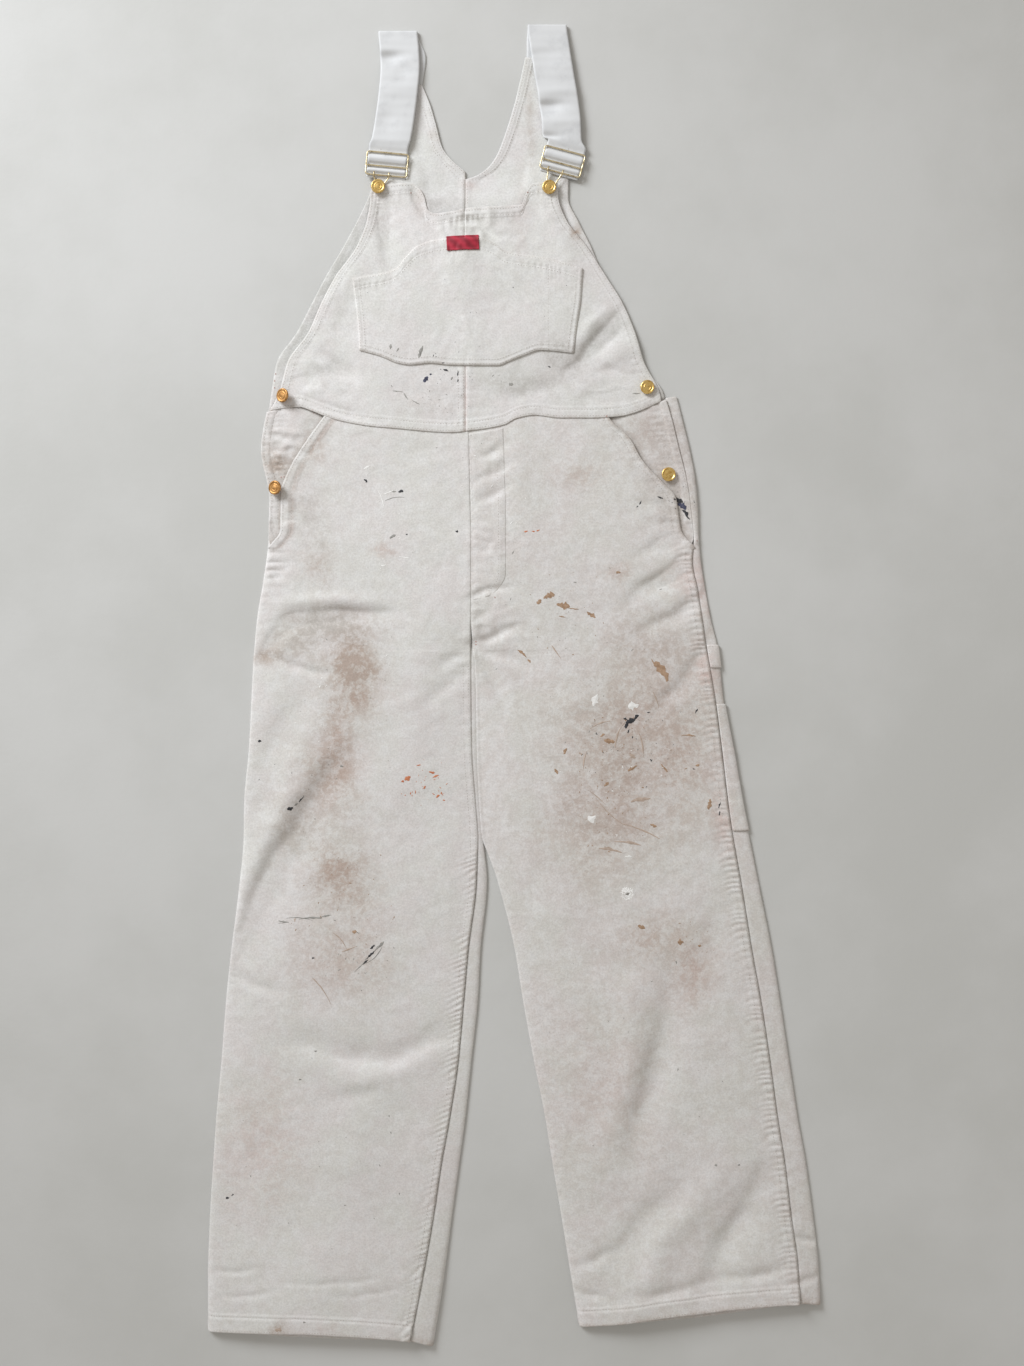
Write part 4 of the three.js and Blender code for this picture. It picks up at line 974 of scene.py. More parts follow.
# Right front leg: its outer seam is roped all the way down
x, y = fillCut(
    spread(legGrid["across"], 0.45),
    np.linspace(0, 1, legGrid["down"]),
    lambda x: waistAt(x) - seamHalf,
    rightHemAt,
    lambda y: rightInner(y) + seamHalf + 0.2 - 2.2 * easeStep(y, *meeting) * belowCrotch(y),
    rightFrontEdge,
)
z = frontTop(x, y)
toSeam, toHem, toWaist = rightSeam(y) - x, y - rightHemAt(x), waistAt(x) - y
toMouth = np.where(y > mouthFoot, rightMouthAt(y) - x, outOfReach)
toInner = x - rightInner(y)
roped = 1 - easeStep(y, 140, 160)
rope = roped * puckers(y, toSeam, "right outer seam")
z = z + roped * doubled(toSeam, 9, 0.5, 0.3) + rope
z = z + puckers(y, toInner, "right inner edge") + hemBand(x, toHem, 55)
z = z + puckers(x, toWaist, "right waist") - 0.3 * hump(toWaist, 5)
z = z + doubled(toMouth, 9, 0.3, 0.4) + puckers(y, toMouth, "right pocket mouth")
met = easeStep(y, *meeting)
inner = rolled(z, toInner + 2.2 * met, 7, mix(legEdge, innerEdge, met))
z = mix(inner, z, easeStep(y, inseamLevel, inseamLevel + 60))
z = mix(z, rolled(z, toInner, 2.5, z - 0.3), easeStep(y, *tuckedIn))
# painted shade and soil in the troughs of the roped outer seam
tint = troughShadeAndSoil(tintAt(x, y, (0.14, 0.05, 0.02)), rope, 1.1, brown=0.3, grey=0.1, pink=0.15)
# painted shade and soil in a thin line along the outer seam
tint = edgeShadeAndSoil(tint, toSeam, 1.5, brown=0.3, grey=0.3)
tint = edgeShadeAndSoil(tint, toHem, 3, brown=0.25)
tint = edgeShadeAndSoil(tint, toMouth, 3, brown=0.25, grey=0.1)
thick = np.where(toHem < hemDepth, doubledHem, single)
drillPiece("front_leg_right", x, y, z, tint, "laid", "back_leg_right_cloth", thick=thick)
print("front legs made")


# A back leg: it lies flat on the floor, turns up round its fold and runs back over the top to its
# seam. The columns run from that seam over the fold and along the floor to the outer edge.
backGrid = {"down": 520, "top": 13, "turn": 7, "flat": 12, "steps": 10}
backFold = {"tip": 1.6, "tipReach": 5.0, "flatMargin": 14}


def backSection(
    outerAt, foldAt, seamAt, hemAt, turnedAt, topAt=backWaistAt, rows=backGrid["down"], lift=0.0, columns=None
):
    down = np.linspace(0, 1, rows)
    onTop = 1 - (1 - np.linspace(0, 1, backGrid["top"])) ** 1.4
    turn = np.linspace(0, 1, backGrid["turn"] + 1)[1:]
    onFloor = np.linspace(0, 1, backGrid["flat"] + 1)[1:]
    kinds = [("top", t) for t in onTop] + [("turn", t) for t in turn] + [("flat", t) for t in onFloor]
    kinds = kinds[:columns]
    xs, ys, zs = [], [], []
    tip = backFold["tip"]
    for k, (kind, t) in enumerate(kinds):
        y = mix(waistLevel, hemLevel, down)
        peek = backPeek * math.sin(math.pi * t) if kind == "flat" else 0
        for _ in range(backGrid["steps"]):
            fold, seam, outer = foldAt(y), seamAt(y), outerAt(y)
            if kind == "top":
                x = mix(seam + seamHalf + 0.15, fold + lift, t)
            elif kind == "turn":
                x = fold + lift - (tip + 0.2) * (1 - math.cos(t * math.pi / 2))
            else:
                x = mix(fold - tip - 0.2, outer, t)
            turned = turnedAt(y)
            inTurn = min(k / (backGrid["top"] + backGrid["turn"]), 1)
            flatX = fold - seamHalf - backFold["flatMargin"] * inTurn
            if kind != "flat":
                x = mix(flatX, x, turned)
            y = mix(topAt(x), hemAt(x) - peek, down)
        if kind == "top":
            z = rolled(frontTop(x, y) - 0.3, foldAt(y) - x + lift, backFold["tipReach"], tip) + lift
            z = z - 0.4 * hump(x - seamAt(y), 1.5)
        elif kind == "turn":
            z = tip * (1 - math.sin(t * math.pi / 2)) * np.ones_like(y)
        else:
            z = np.zeros_like(y)
        xs.append(x)
        ys.append(y)
        zs.append(z * turnedAt(y))
    return np.stack(xs, axis=1), np.stack(ys, axis=1), np.stack(zs, axis=1)


def always(y):
    return np.ones_like(y)


def backThickness(x, y, hemAt):
    columns = np.arange(x.shape[1])[None, :]
    onFloor = columns >= backGrid["top"] + backGrid["turn"] + 1
    return np.where(onFloor & (y - hemAt(x) < hemDepth - backPeek), doubledHem, single)


x, y, z = backSection(leftOuter, lambda y: leftFold(y) - seamHalf, leftSeam, leftHemAt, belowCrotch)
tint = tintAt(x, y, (0.07, 0.03, 0.03))
tint = edgeShadeAndSoil(tint, y - leftHemAt(x), 6, brown=0.35, grey=0.15)
thick = backThickness(x, y, leftHemAt)
drillPiece("back_leg_left", x, y, z, tint, "folded", "floor", thick=thick)
x, y, z = backSection(lambda y: rightInner(y) + 0.4, rightFold, rightSeam, rightHemAt, always)
tint = tintAt(x, y, (0.16, 0.05, 0.03))
tint = edgeShadeAndSoil(tint, y - rightHemAt(x), 6, brown=0.35, grey=0.15)
thick = backThickness(x, y, rightHemAt)
drillPiece("back_leg_right", x, y, z, tint, "folded", "floor", thick=thick)
print("back legs made")

# The hammer loop and the tool pocket, wrapped over the turned strip of the right leg
wrapLift = 1.3  # a thickness of cloth and a little air
wraps = [
    {"name": "hammer_loop", "top": 44, "foot": 19, "rows": 18, "steps": []},
    {"name": "tool_pocket", "top": -21, "foot": -160, "rows": 90, "steps": [-69, -107, -126]},
]
for wrap in wraps:
    x, y, z = backSection(
        lambda y: rightInner(y) + 0.4,
        rightFold,
        lambda y: rightSeam(y) + 1.0,
        lambda x: np.full_like(x, wrap["foot"]),
        always,
        lambda x: np.full_like(x, wrap["top"]),
        wrap["rows"],
        wrapLift,
        backGrid["top"] + 3,
    )
    for step in wrap["steps"]:
        z = z + 0.5 * (1 - easeStep(y, step - 2, step)) * easeStep(y, step - 26, step - 2)
    tint = tintAt(x, y, (0.1, 0.03, 0.05))
    # painted shade and soil in a line along the foot of each wrap
    tint = edgeShadeAndSoil(tint, y - wrap["foot"], 1.5, brown=0.5, grey=0.4)
    drillPiece(wrap["name"], x, y, z, tint, "folded", "back_leg_right_cloth")

# Hip pieces beside the slash pockets, and the side plackets on them
hipGrid = {"down": 110, "across": 40}
plackets = {"wide": 11, "foot": 176}


def hipHeight(x, y):
    away = np.minimum(np.abs(x - leftMouthAt(y)), np.abs(x - rightMouthAt(y)))
    raised = 1.1 * easeStep(away, 4, 22) * easeStep(y, hipFoot, hipFoot + 30)
    worn = 0.8 * creaseHeight(x, y) + 0.9 * crumpleHeight(x, y) + 0.15 * softNoise(x, y, 14, 61)
    return np.maximum(hipFace + raised + worn, hipFace - 0.1)


# Its foot runs on a little way under the leg, and narrows there to stay hidden.
def narrowing(y):
    return 5 * (1 - easeStep(y, hipFoot - 12, hipFoot + 2))


sides = [
    {
        "side": "left",
        "leftEdge": lambda y: leftOuter(y) + narrowing(y),
        "rightEdge": lambda y: leftMouthAt(y) + hipLap,
    },
    {
        "side": "right",
        "leftEdge": lambda y: rightMouthAt(y) - hipLap,
        "rightEdge": lambda y: rightSeam(y) - seamHalf - narrowing(y),
    },
]
for side in sides:
    x, y = fillCut(
        spread(hipGrid["across"], 0.7),
        np.linspace(0, 1, hipGrid["down"]),
        lambda x: waistAt(x) - seamHalf,
        lambda x: np.full_like(x, hipFoot - 18),
        side["leftEdge"],
        side["rightEdge"],
    )
    onLeft = side["side"] == "left"
    toSide = x - leftOuter(y) if onLeft else rightSeam(y) - x
    z = hipHeight(x, y) + puckers(y, toSide - 11, "hip", onLeft) - 0.3 * hump(waistAt(x) - y, 4)
    tint = tintAt(x, y, (0.08, 0.03, 0.05))
    toMouth = x - leftMouthAt(y) if onLeft else rightMouthAt(y) - x
    # painted shade on the hip beside the pocket mouth, where the leg's edge stands over it
    tint = edgeShadeAndSoil(tint, np.minimum(toMouth, 0), 6, brown=0.35, grey=0.35)
    drillPiece("hip_" + side["side"], x, y, z, tint, "laid", f"back_leg_{side['side']}_cloth")
    wide = plackets["wide"]
    x, y = fillCut(
        np.linspace(0, 1, 12),
        np.linspace(0, 1, 90),
        lambda x: waistAt(x) - seamHalf,
        lambda x: np.full_like(x, plackets["foot"]),
        leftOuter if onLeft else lambda y: rightSeam(y) - wide,
        (lambda y: leftOuter(y) + wide) if onLeft else lambda y: rightSeam(y) - seamHalf,
    )
    toSide = x - leftOuter(y) if onLeft else rightSeam(y) - x
    rise = 0.5 if onLeft else 0.8
    z = hipHeight(x, y) + rise + puckers(y, toSide, "side placket", onLeft)
    z = z - (rise + 0.15) * (1 - easeStep(np.minimum(wide - toSide, y - plackets["foot"]), 0, 5))
    # a painted shade line along the right placket's inner edge; faint soil on the left one
    tint = edgeShadeAndSoil(tintAt(x, y, (0.08, 0.03, 0.06)), toSide - wide, 1.5, brown=0.05 if onLeft else 0.3)
    node, under = "side_placket_" + side["side"], f"hip_{side['side']}_cloth"
    drillPiece(node, x, y, z, tint, "laid", under, straight=True)

# Fly facing on the right front, round at its foot
fly = {"wide": 38, "foot": 96, "seam": 3, "rise": 0.5}


def flyLeft(y):
    return rightInner(y) + 1.5


def flyRight(y):
    return flyLeft(y) + fly["wide"] * np.sqrt(easeStep(y, fly["foot"] - 12, fly["foot"] + 26))


x, y = fillCut(
    np.linspace(0, 1, 28),
    np.linspace(0, 1, 130),
    lambda x: waistAt(x) - fly["seam"],
    lambda x: fly["foot"] - 4 + 0.25 * (x + 49),
    flyLeft,
    flyRight,
)
toEdge, toFoot = flyRight(y) - x, y - fly["foot"]
z = frontTop(x, y) + fly["rise"] + puckers(y, x - flyLeft(y), "fly")
z = z + doubled(toEdge, 7, 0.15, 0.15) + puckers(x, toFoot, "fly foot")
toRim = np.minimum(np.minimum(toEdge, x - flyLeft(y)), toFoot)
z = z - (fly["rise"] + 0.12) * (1 - easeStep(toRim, 0, 6))
tint = tintAt(x, y, (0.12, 0.05, 0.03))
drillPiece("fly_placket", x, y, z, tint, "laid", "front_leg_right_cloth")
print("hips, plackets and fly made")

# Bib, in two halves that meet at the centre seam, and its pocket
bibGrid = {"down": 170, "across": 80}


def bibRelief(x, y):
    toTop, toWaist = bibTopAt(x) - y, y - waistAt(x)
    toSide = np.minimum(x - bibLeft(y), bibRight(y) - x)
    toCentre = np.abs(x - bibCentre)
    relief = doubled(toTop, 11, 0.7, 0.5) + puckers(x, toTop - 6, "bib top")
    relief = relief + doubled(toWaist, 12, 0.6, 0.35) + puckers(x, toWaist - 6, "bib waist")
    relief = relief + doubled(toSide, 9, 0.6, 0.4) + puckers(y, toSide - 5, "bib side")
    belowPocket = 1 - easeStep(y, 350, 362)
    relief = relief + belowPocket * (0.35 * hump(toCentre - 4, 3) - 0.3 * hump(toCentre, 1.2))
    return relief + belowPocket * puckers(y, toCentre, "bib centre")


def bibHeight(x, y):
    return frontTop(x, y) + bibRelief(x, y)


underPocket = (352, 364)  # above this the bib's centre seam is hidden, and its left half is tucked under


def leftHalfEdge(y):
    return bibCentre - seamHalf + 0.5 + 1.1 * easeStep(y, *underPocket)


halves = [
    {"side": "left", "leftEdge": bibLeft, "rightEdge": leftHalfEdge},
    {"side": "right", "leftEdge": lambda y: np.full_like(y, bibCentre + seamHalf), "rightEdge": bibRight},
]
for half in halves:
    x, y = fillCut(
        spread(bibGrid["across"], 0.6),
        spread(bibGrid["down"], 0.7),
        bibTopAt,
        lambda x: waistAt(x) + seamHalf,
        half["leftEdge"],
        half["rightEdge"],
    )
    toSide = np.minimum(x - bibLeft(y), bibRight(y) - x)
    tint = tintAt(x, y, (0.02, 0.02, 0.02))
    # painted shade and soil along the bib's lower edge at the waist seam
    tint = edgeShadeAndSoil(tint, y - waistAt(x), 2, brown=0.25, grey=0.25)
    tint = edgeShadeAndSoil(tint, np.abs(x - bibCentre) + 9 * easeStep(y, 350, 362), 1.5, brown=0.2, pink=0.4)
    tint = edgeShadeAndSoil(tint, bibTopAt(x) - y, 2, brown=0.12)
    tint = edgeShadeAndSoil(tint, toSide, 2, brown=0.1)
    z = bibHeight(x, y)
    tucked = easeStep(y, *underPocket) * (1 - easeStep(bibCentre + 1.5 - x, 0, 5))
    z = z - tucked * (1.15 if half["side"] == "left" else 0.0)
    drillPiece("bib_front_" + half["side"], x, y, z, tint, "laid", f"back_bib_{half['side']}_cloth")

x, y = fillCut(
    spread(150, 0.7),
    spread(80, 0.6),
    pocketTopAt,
    pocketFootAt,
    pocketLeftAt,
    pocketRightAt,
)
toTop, toFoot = pocketTopAt(x) - y, y - pocketFootAt(x)
toSide = np.minimum(x - pocketLeftAt(y), pocketRightAt(y) - x)
z = bibHeight(x, y) + 1.2 + doubled(toTop, 13, 0.3, 0.4) + puckers(x, toTop - 6, "bib pocket top")
z = z + doubled(toFoot, 7, 0.2, 0.3) + puckers(x, toFoot - 4, "bib pocket foot")
z = z + doubled(toSide, 7, 0.2, 0.3) + puckers(y, toSide - 4, "bib pocket side")
z = z - 0.9 * (1 - easeStep(np.minimum(toTop, toSide + 0.6), 0, 3)) - 0.4 * (1 - easeStep(toFoot, 0, 2.5))
z = z + 0.9 * arch((x + 175) / 250) * arch((y - 350) / 135) + 0.3 * softNoise(x, y, 30, 97)
tint = tintAt(x, y, (0.03, 0.04, 0.02))
# painted shade and soil along the pocket's foot
tint = edgeShadeAndSoil(tint, toFoot, 2, brown=0.3, grey=0.3)
tint = edgeShadeAndSoil(tint, toTop, 2, brown=0.12, grey=0.1)
tint = edgeShadeAndSoil(tint, toSide, 2, brown=0.1)
drillPiece("bib_pocket", x, y, z, tint, "laid", "bib_front_left_cloth", "bib_front_right_cloth")
print("bib made")

# Back of the bib: it lies on the floor, and shows in the V and beside the front
backTop = {"left": 660, "right": 690}


def backHeight(x, y):
    under = easeStep(bibTopAt(x) - y, 0, 14) * (x > bibLeft(y)) * (x < bibRight(y))
    toInner = np.where(x < bibCentre, leftArmAt(y) - x, x - rightArmAt(y))
    toInner = np.where(y > vFoot, toInner, np.hypot(toInner, vFoot - y))
    toOuter = np.minimum(x - backLeft(y), backRight(y) - x)
    relief = doubled(toInner, 9, 0.8, 0.4) + puckers(y, toInner - 9, "arm inside")
    relief = relief + doubled(toOuter, 9, 0.7, 0.4) + puckers(y, toOuter - 9, "arm outside")
    relief = relief + 0.5 * hump(np.abs(x - bibCentre) - 3, 3) * (y < vFoot)
    relief = relief + 1.4 * hump(y - 548 - 0.15 * x, 9) * hump(x + 100, 30)
    besideBib = (x > bibLeft(y) + 6) * (x < bibRight(y) - 6) * (y < 600)
    relief = relief + 2.3 * besideBib * (1 - easeStep(y - bibTopAt(x), 2, 34))
    relief = relief + 0.5 * np.abs(softNoise(x, y, 22, 105))
    return cloth + relief * (1 - under)


armGrid = {"down": 200, "across": 44}
halves = [
    {"side": "left", "outer": backLeft, "inner": leftArmAt, "centre": bibCentre - seamHalf},
    {"side": "right", "outer": backRight, "inner": rightArmAt, "centre": bibCentre + seamHalf},
]
for half in halves:
    onLeft = half["side"] == "left"

    def innerAt(y, half=half, further=np.minimum if onLeft else np.maximum):
        arm = further(half["inner"](y), half["centre"])
        return np.where(np.asarray(y) > vFoot, arm, half["centre"])

    x, y = fillCut(
        spread(armGrid["across"], 0.5),
        np.linspace(0, 1, armGrid["down"]),
        lambda x: np.full_like(x, backTop[half["side"]]),
        lambda x: backWaistAt(x) + 0.45,
        half["outer"] if onLeft else innerAt,
        innerAt if onLeft else half["outer"],
    )
    toOuter = np.minimum(x - backLeft(y), backRight(y) - x)
    tint = tintAt(x, y, (0.0, 0.02, 0.0))
    # painted shade and soil along the centre seam of the back
    tint = edgeShadeAndSoil(tint, x - bibCentre, 1.5, brown=0.3, grey=0.2)
    tint = edgeShadeAndSoil(tint, toOuter, 3, brown=0.12, grey=0.12)
    # painted shade on the left back, beside the lifted edge of the front bib
    if onLeft:
        tint = edgeShadeAndSoil(tint, np.maximum(y - 520, 0) + np.maximum(370 - y, 0), 30, grey=0.3)
    drillPiece("back_bib_" + half["side"], x, y, backHeight(x, y), tint, "laid", "floor")
print("back of the bib made")

# Straps: the middle of the band in mm, from the arm up the back, over the shoulder fold and down to
# the slide, which it passes under and over. On the front run it also has its height and its turn in
# degrees, and the slide has its turn. Dips are its soft hollows and swells: their place, half width and
# half height in the photo's pixels, and their height in mm.
strap = {"wide": 42, "thick": 1.5, "fold": 2.0, "across": 26, "stepLength": 1.4}
straps = {
    "left": {
        "fold": (-128, 719),
        "backRun": [(-123, 660), (-119, 690)],
        "frontRun": [
            (-126.5, 700, 5.0, -1), (-125.5, 678, 6.2, 2), (-127.5, 652, 6.4, 2), (-131, 624, 6.8, 0),
            (-135.5, 598, 6.6, -3),
        ],
        "slide": (-140, 571, -5.4),
        "dips": [
            (389, 56, 13, 6, -4.4), (404, 70, 9, 5, -1.6), (398, 92, 16, 7, 1.0), (386, 120, 12, 8, -1.4),
            (402, 38, 18, 5, 1.2),
        ],
    },
    "right": {
        "fold": (36, 726),
        "backRun": [(35, 690), (35, 706)],
        "frontRun": [
            (38.5, 704, 5.0, 2), (43, 674, 6.4, 4), (47.5, 648, 6.4, 3), (51, 622, 6.8, -1),
            (52.5, 600, 6.6, -8),
        ],
        "slide": (52.5, 574, -15),
        "dips": [
            (549, 106, 16, 4.4, -4.4), (548, 138, 12, 3.6, -2.8), (560, 124, 18, 4, 0.8),
            (560, 92, 18, 5, 1.2), (545, 52, 16, 9, -1.4),
        ],
    },
}
# The strap in the slide: how far above the slide's middle, and how high off the floor
inSlide = [
    (20, 5.4), (15.5, 4.2), (11, 4.2), (8.5, 6.3), (5.5, 7.3), (2.5, 6.3), (0, 4.2), (-4, 4.2),
    (-5.6, 5.9), (-7, 6.4), (-8.4, 5.9), (-10, 4.2), (-14.5, 4.2),
]
for side, run in straps.items():
    sx, sy, slant = run["slide"]
    c, s = cosSin(slant)
    radius = strap["fold"]
    foldX, foldY = run["fold"]
    route = [(x, y, 0.0, 0.0) for x, y in run["backRun"]]
    route += [
        (foldX, foldY - radius + radius * math.cos(a), radius + radius * math.sin(a), 0.0)
        for a in np.radians(np.arange(-90, 91, 20))
    ]
    route += run["frontRun"]
    route += [(sx - along * s, sy + along * c, top, slant) for along, top in inSlide]
    route = np.array(route, float)
    steps = np.linalg.norm(np.diff(route[:, :3], axis=0), axis=1)
    length = np.concatenate([[0], np.cumsum(steps)])
    count = int(length[-1] / strap["stepLength"])
    # the bends of the route stay where they are, and the rows between them are evenly spaced
    at = np.unique(np.concatenate([np.linspace(0, length[-1], count), length]))
    at = at[np.concatenate([[True], np.diff(at) > 0.25])]
    table = {"at": length, "x": route[:, 0], "y": route[:, 1], "z": route[:, 2], "turn": route[:, 3]}
    cx, cy, cz, turn = (reader(table, column, "at")(at) for column in ("x", "y", "z", "turn"))
    across = np.linspace(-1, 1, strap["across"])
    half = strap["wide"] / 2
    turn = np.radians(turn)
    x = cx[:, None] + half * across[None, :] * np.cos(turn)[:, None]
    y = cy[:, None] + half * across[None, :] * np.sin(turn)[:, None]
    z = np.repeat(cz[:, None], strap["across"], axis=1)
    onFront = easeStep(at - length[12], 0, 12)[:, None] * easeStep(length[-1] - at, 38, 50)[:, None]
    for px, py, wide, tall, height in run["dips"]:
        dx, dy = fromPhoto(px, py)
        scale = photo["mmPerPixel"]
        slower = np.where(y < dy, 2.2, 1.0) if height < 0 else 1.0
        z = z + onFront * height * hump(x - dx, wide * scale) * hump(y - dy, tall * scale * slower)
    z = z + onFront * 0.3 * softNoise(x, y, 20, 111) - 0.25 * onFront * across[None, :] ** 6
    piece = makeWall(f"strap_{side}_webbing", x, y, z, strap["thick"], whiteElastic)
    settle(piece, "elastic_webbing", "strap_" + side)
    size = (strap["wide"] * mm, length[-1] * mm)
print("straps made")

# Plain red tab on the pocket's hem
label = {"middle": (463, 244.5), "wide": 35, "tall": 16, "turn": 3}  # middle in the photo's pixels, then mm


def topOfCloth(tree, x, y):
    place = tree.ray_cast(Vector((x * mm, y * mm, 0.1)), Vector((0, 0, -1)))[0]
    return None if place is None else place.z / mm


def clothTree():
    vertices, faces, start = [], [], 0
    for points, quads in clothFaces:
        vertices.append(points)
        faces.append(quads + start)
        start += len(points)
    return BVHTree.FromPolygons(np.concatenate(vertices).tolist(), np.concatenate(faces).tolist())


tree = clothTree()
lx, ly = fromPhoto(*label["middle"])
u, v = np.meshgrid(np.linspace(-0.5, 0.5, 36), np.linspace(0.5, -0.5, 18))
c, s = cosSin(label["turn"])
x = lx + u * label["wide"] * c - v * label["tall"] * s
y = ly + u * label["wide"] * s + v * label["tall"] * c
z = np.array([[topOfCloth(tree, px, py) for px, py in zip(rowX, rowY)] for rowX, rowY in zip(x, y)])
border = np.minimum(0.5 - np.abs(u), (0.5 - np.abs(v)) * label["tall"] / label["wide"]) * label["wide"]
z = z + 1.1 - 0.25 * hump(border - 1.8, 0.7)
labelTab = makeWall("label_tab_twill", x, y, z, 0.7, redTwill)
settle(labelTab, "red_twill", "label_tab")
declareSheet(labelTab, x, y, 0 * z, "laid", "bib_pocket_cloth")
print("label made")

# Sewing: a grain of thread for every stitch, laid on the cloth along lines that follow its edges
sewing = {"long": 2.3, "wide": 0.34, "pitch": 3.1, "above": 0.28, "below": 0.2, "sunk": 0.05}
tooSteep = 1.2  # mm that the cloth may rise under one stitch, or the stitch is left out


def along(start, end, step=4.0):
    return np.linspace(start, end, max(int(abs(end - start) / step), 2) + 1)


def evenly(path, pitch):
    x, y = path
    at = np.concatenate([[0], np.cumsum(np.hypot(np.diff(x), np.diff(y)))])
    where = np.arange(pitch / 2, at[-1], pitch)
    return np.interp(where, at, x), np.interp(where, at, y)


def meshPiece(name, vertices, faces, material):
    mesh = bpy.data.meshes.new(name)
    mesh.from_pydata([tuple(v * mm for v in vertex) for vertex in vertices], [], faces)
    mesh.materials.append(material)
    piece = bpy.data.objects.new(name, mesh)
    bpy.context.collection.objects.link(piece)
    return piece


def sewPiece(name, paths, material=paleThread, seed=0, wide=sewing["wide"], highest=outOfReach):
    random = np.random.default_rng(seed)
    vertices, faces = [], []
    for path in paths:
        x, y = evenly(path, sewing["pitch"])
        for i in range(len(x) - 1):
            angle = math.atan2(y[i + 1] - y[i], x[i + 1] - x[i]) + random.normal(0, 0.06)
            c, s = math.cos(angle), math.sin(angle)
            half = sewing["long"] / 2 * random.uniform(0.85, 1.1)
            ends = [(x[i] + way * half * c, y[i] + way * half * s) for way in (-1, 1)]
            hits = [topOfCloth(tree, ex, ey) for ex, ey in ends + [(x[i], y[i])]]
            if None in hits:
                continue
            z0, z1, zm = hits
            if max(z0, z1, zm) - min(z0, z1, zm) > tooSteep or zm > highest:
                continue
            n = len(vertices)
            vertices += [(*ends[0], z0 - sewing["sunk"]), (*ends[1], z1 - sewing["sunk"])]
            vertices += [(x[i] - s * wide, y[i] + c * wide, zm), (x[i] + s * wide, y[i] - c * wide, zm)]
            vertices += [(x[i], y[i], zm + sewing["above"]), (x[i], y[i], zm - sewing["below"])]
            a, b, left, right, top, foot = range(n, n + 6)
            faces += [(a, top, left), (left, top, b), (b, top, right), (right, top, a)]
            faces += [(a, left, foot), (left, b, foot), (b, right, foot), (right, a, foot)]
    settle(meshPiece(name, vertices, faces, material), "cotton_drill")


# Rows of stitches beside an edge that runs down the garment, or above one that runs across it
def beside(edge, insets, start, end, step=4.0):
    ys = along(start, end, step)
    return [(edge(ys) + inset, ys) for inset in insets]


def above(edge, insets, start, end):
    xs = along(start, end)
    return [(xs, edge(xs) + inset) for inset in insets]


def centreLine(y):
    return np.full_like(y, bibCentre)


bibFoot, bibSideTop = 309, bibTopAt(-150.0) - 4
bibRows = beside(bibLeft, (2.2, 8.2), bibFoot, bibSideTop)
bibRows += beside(bibRight, (-2.2, -8.2), bibFoot, bibSideTop)
bibRows += above(bibTopAt, (-2.5, -9.5), -149, 40)
bibRows += above(waistAt, (2.4, 9.6), -262, 160)
bibRows += beside(centreLine, (-2.2, -7.2), waistAt(-54.0) + 2, 350)
sewPiece("bib_stitches", bibRows, seed=1)

penX, _ = fromPhoto(548, 300)
pocketRows = above(pocketTopAt, (-2.2, -12.5), -172, 68)
pocketRows += above(pocketFootAt, (1.8, 6.8), -166, 58)
pocketRows += beside(pocketLeftAt, (1.8, 6.8), 364, 448)
pocketRows += beside(pocketRightAt, (-1.8, -6.8), 364, 448)
pocketRows += beside(lambda y: np.full_like(y, penX), (0,), 357, 464)
sewPiece("bib_pocket_stitches", pocketRows, seed=2)

frontRows = beside(flyRight, (-8,), waistAt(-30.0) - 6, fly["foot"] + 4)
frontRows += beside(leftMouthAt, (2.4, 11.5), mouthFoot + 8, 296)
frontRows += beside(rightMouthAt, (-2.4, -8.5), mouthFoot + 8, 296)
frontRows += beside(leftOuter, (2.5, 9), 182, 300)
frontRows += beside(rightSeam, (-2.5, -9), 182, 300)
sewPiece("front_stitches", frontRows, seed=3)

hemRows = (2.0, hemDepth - 1.6)
legRows = beside(leftSeam, (-1.8, -7.4), 22, hemLevel + 8)
legRows += above(leftHemAt, hemRows, -334, -118)
sewPiece("leg_left_stitches", legRows, seed=4)

legRows = beside(rightSeam, (-1.8, -7.6), 146, -690)
legRows += above(rightHemAt, hemRows, 74, 312)
for wrap in wraps:
    for level in [wrap["top"] - 1.8, wrap["foot"] + 2.2] + wrap["steps"]:
        xs = along(rightSeam(level) + 2.5, rightFold(level) - 1.5, 2.0)
        legRows.append((xs, np.full_like(xs, level)))
    legRows += beside(rightSeam, (2.6,), wrap["top"] - 2, wrap["foot"] + 2, 2.0)
sewPiece("leg_right_stitches", legRows, seed=5)

vPlaces = [(433, 150), (445, 165), (460, 180), (469, 193)]  # down the left arm beside the V
backRows = beside(leftArmAt, (-2.2, -8.6), vFoot + 3, 640)
backRows += beside(rightArmAt, (2.2, 8.6), vFoot + 3, 690)
backRows += beside(centreLine, (-2.6, 2.6), 528, vFoot - 3, 3.0)
backRows += beside(backLeft, (2.4, 8.4), 553, 655)
backRows += beside(backRight, (-2.4, -8.4), 553, 690)
backRows.append(fromPhoto(*zip(*vPlaces)))
sewPiece("back_bib_stitches", backRows, seed=6, highest=4.4)

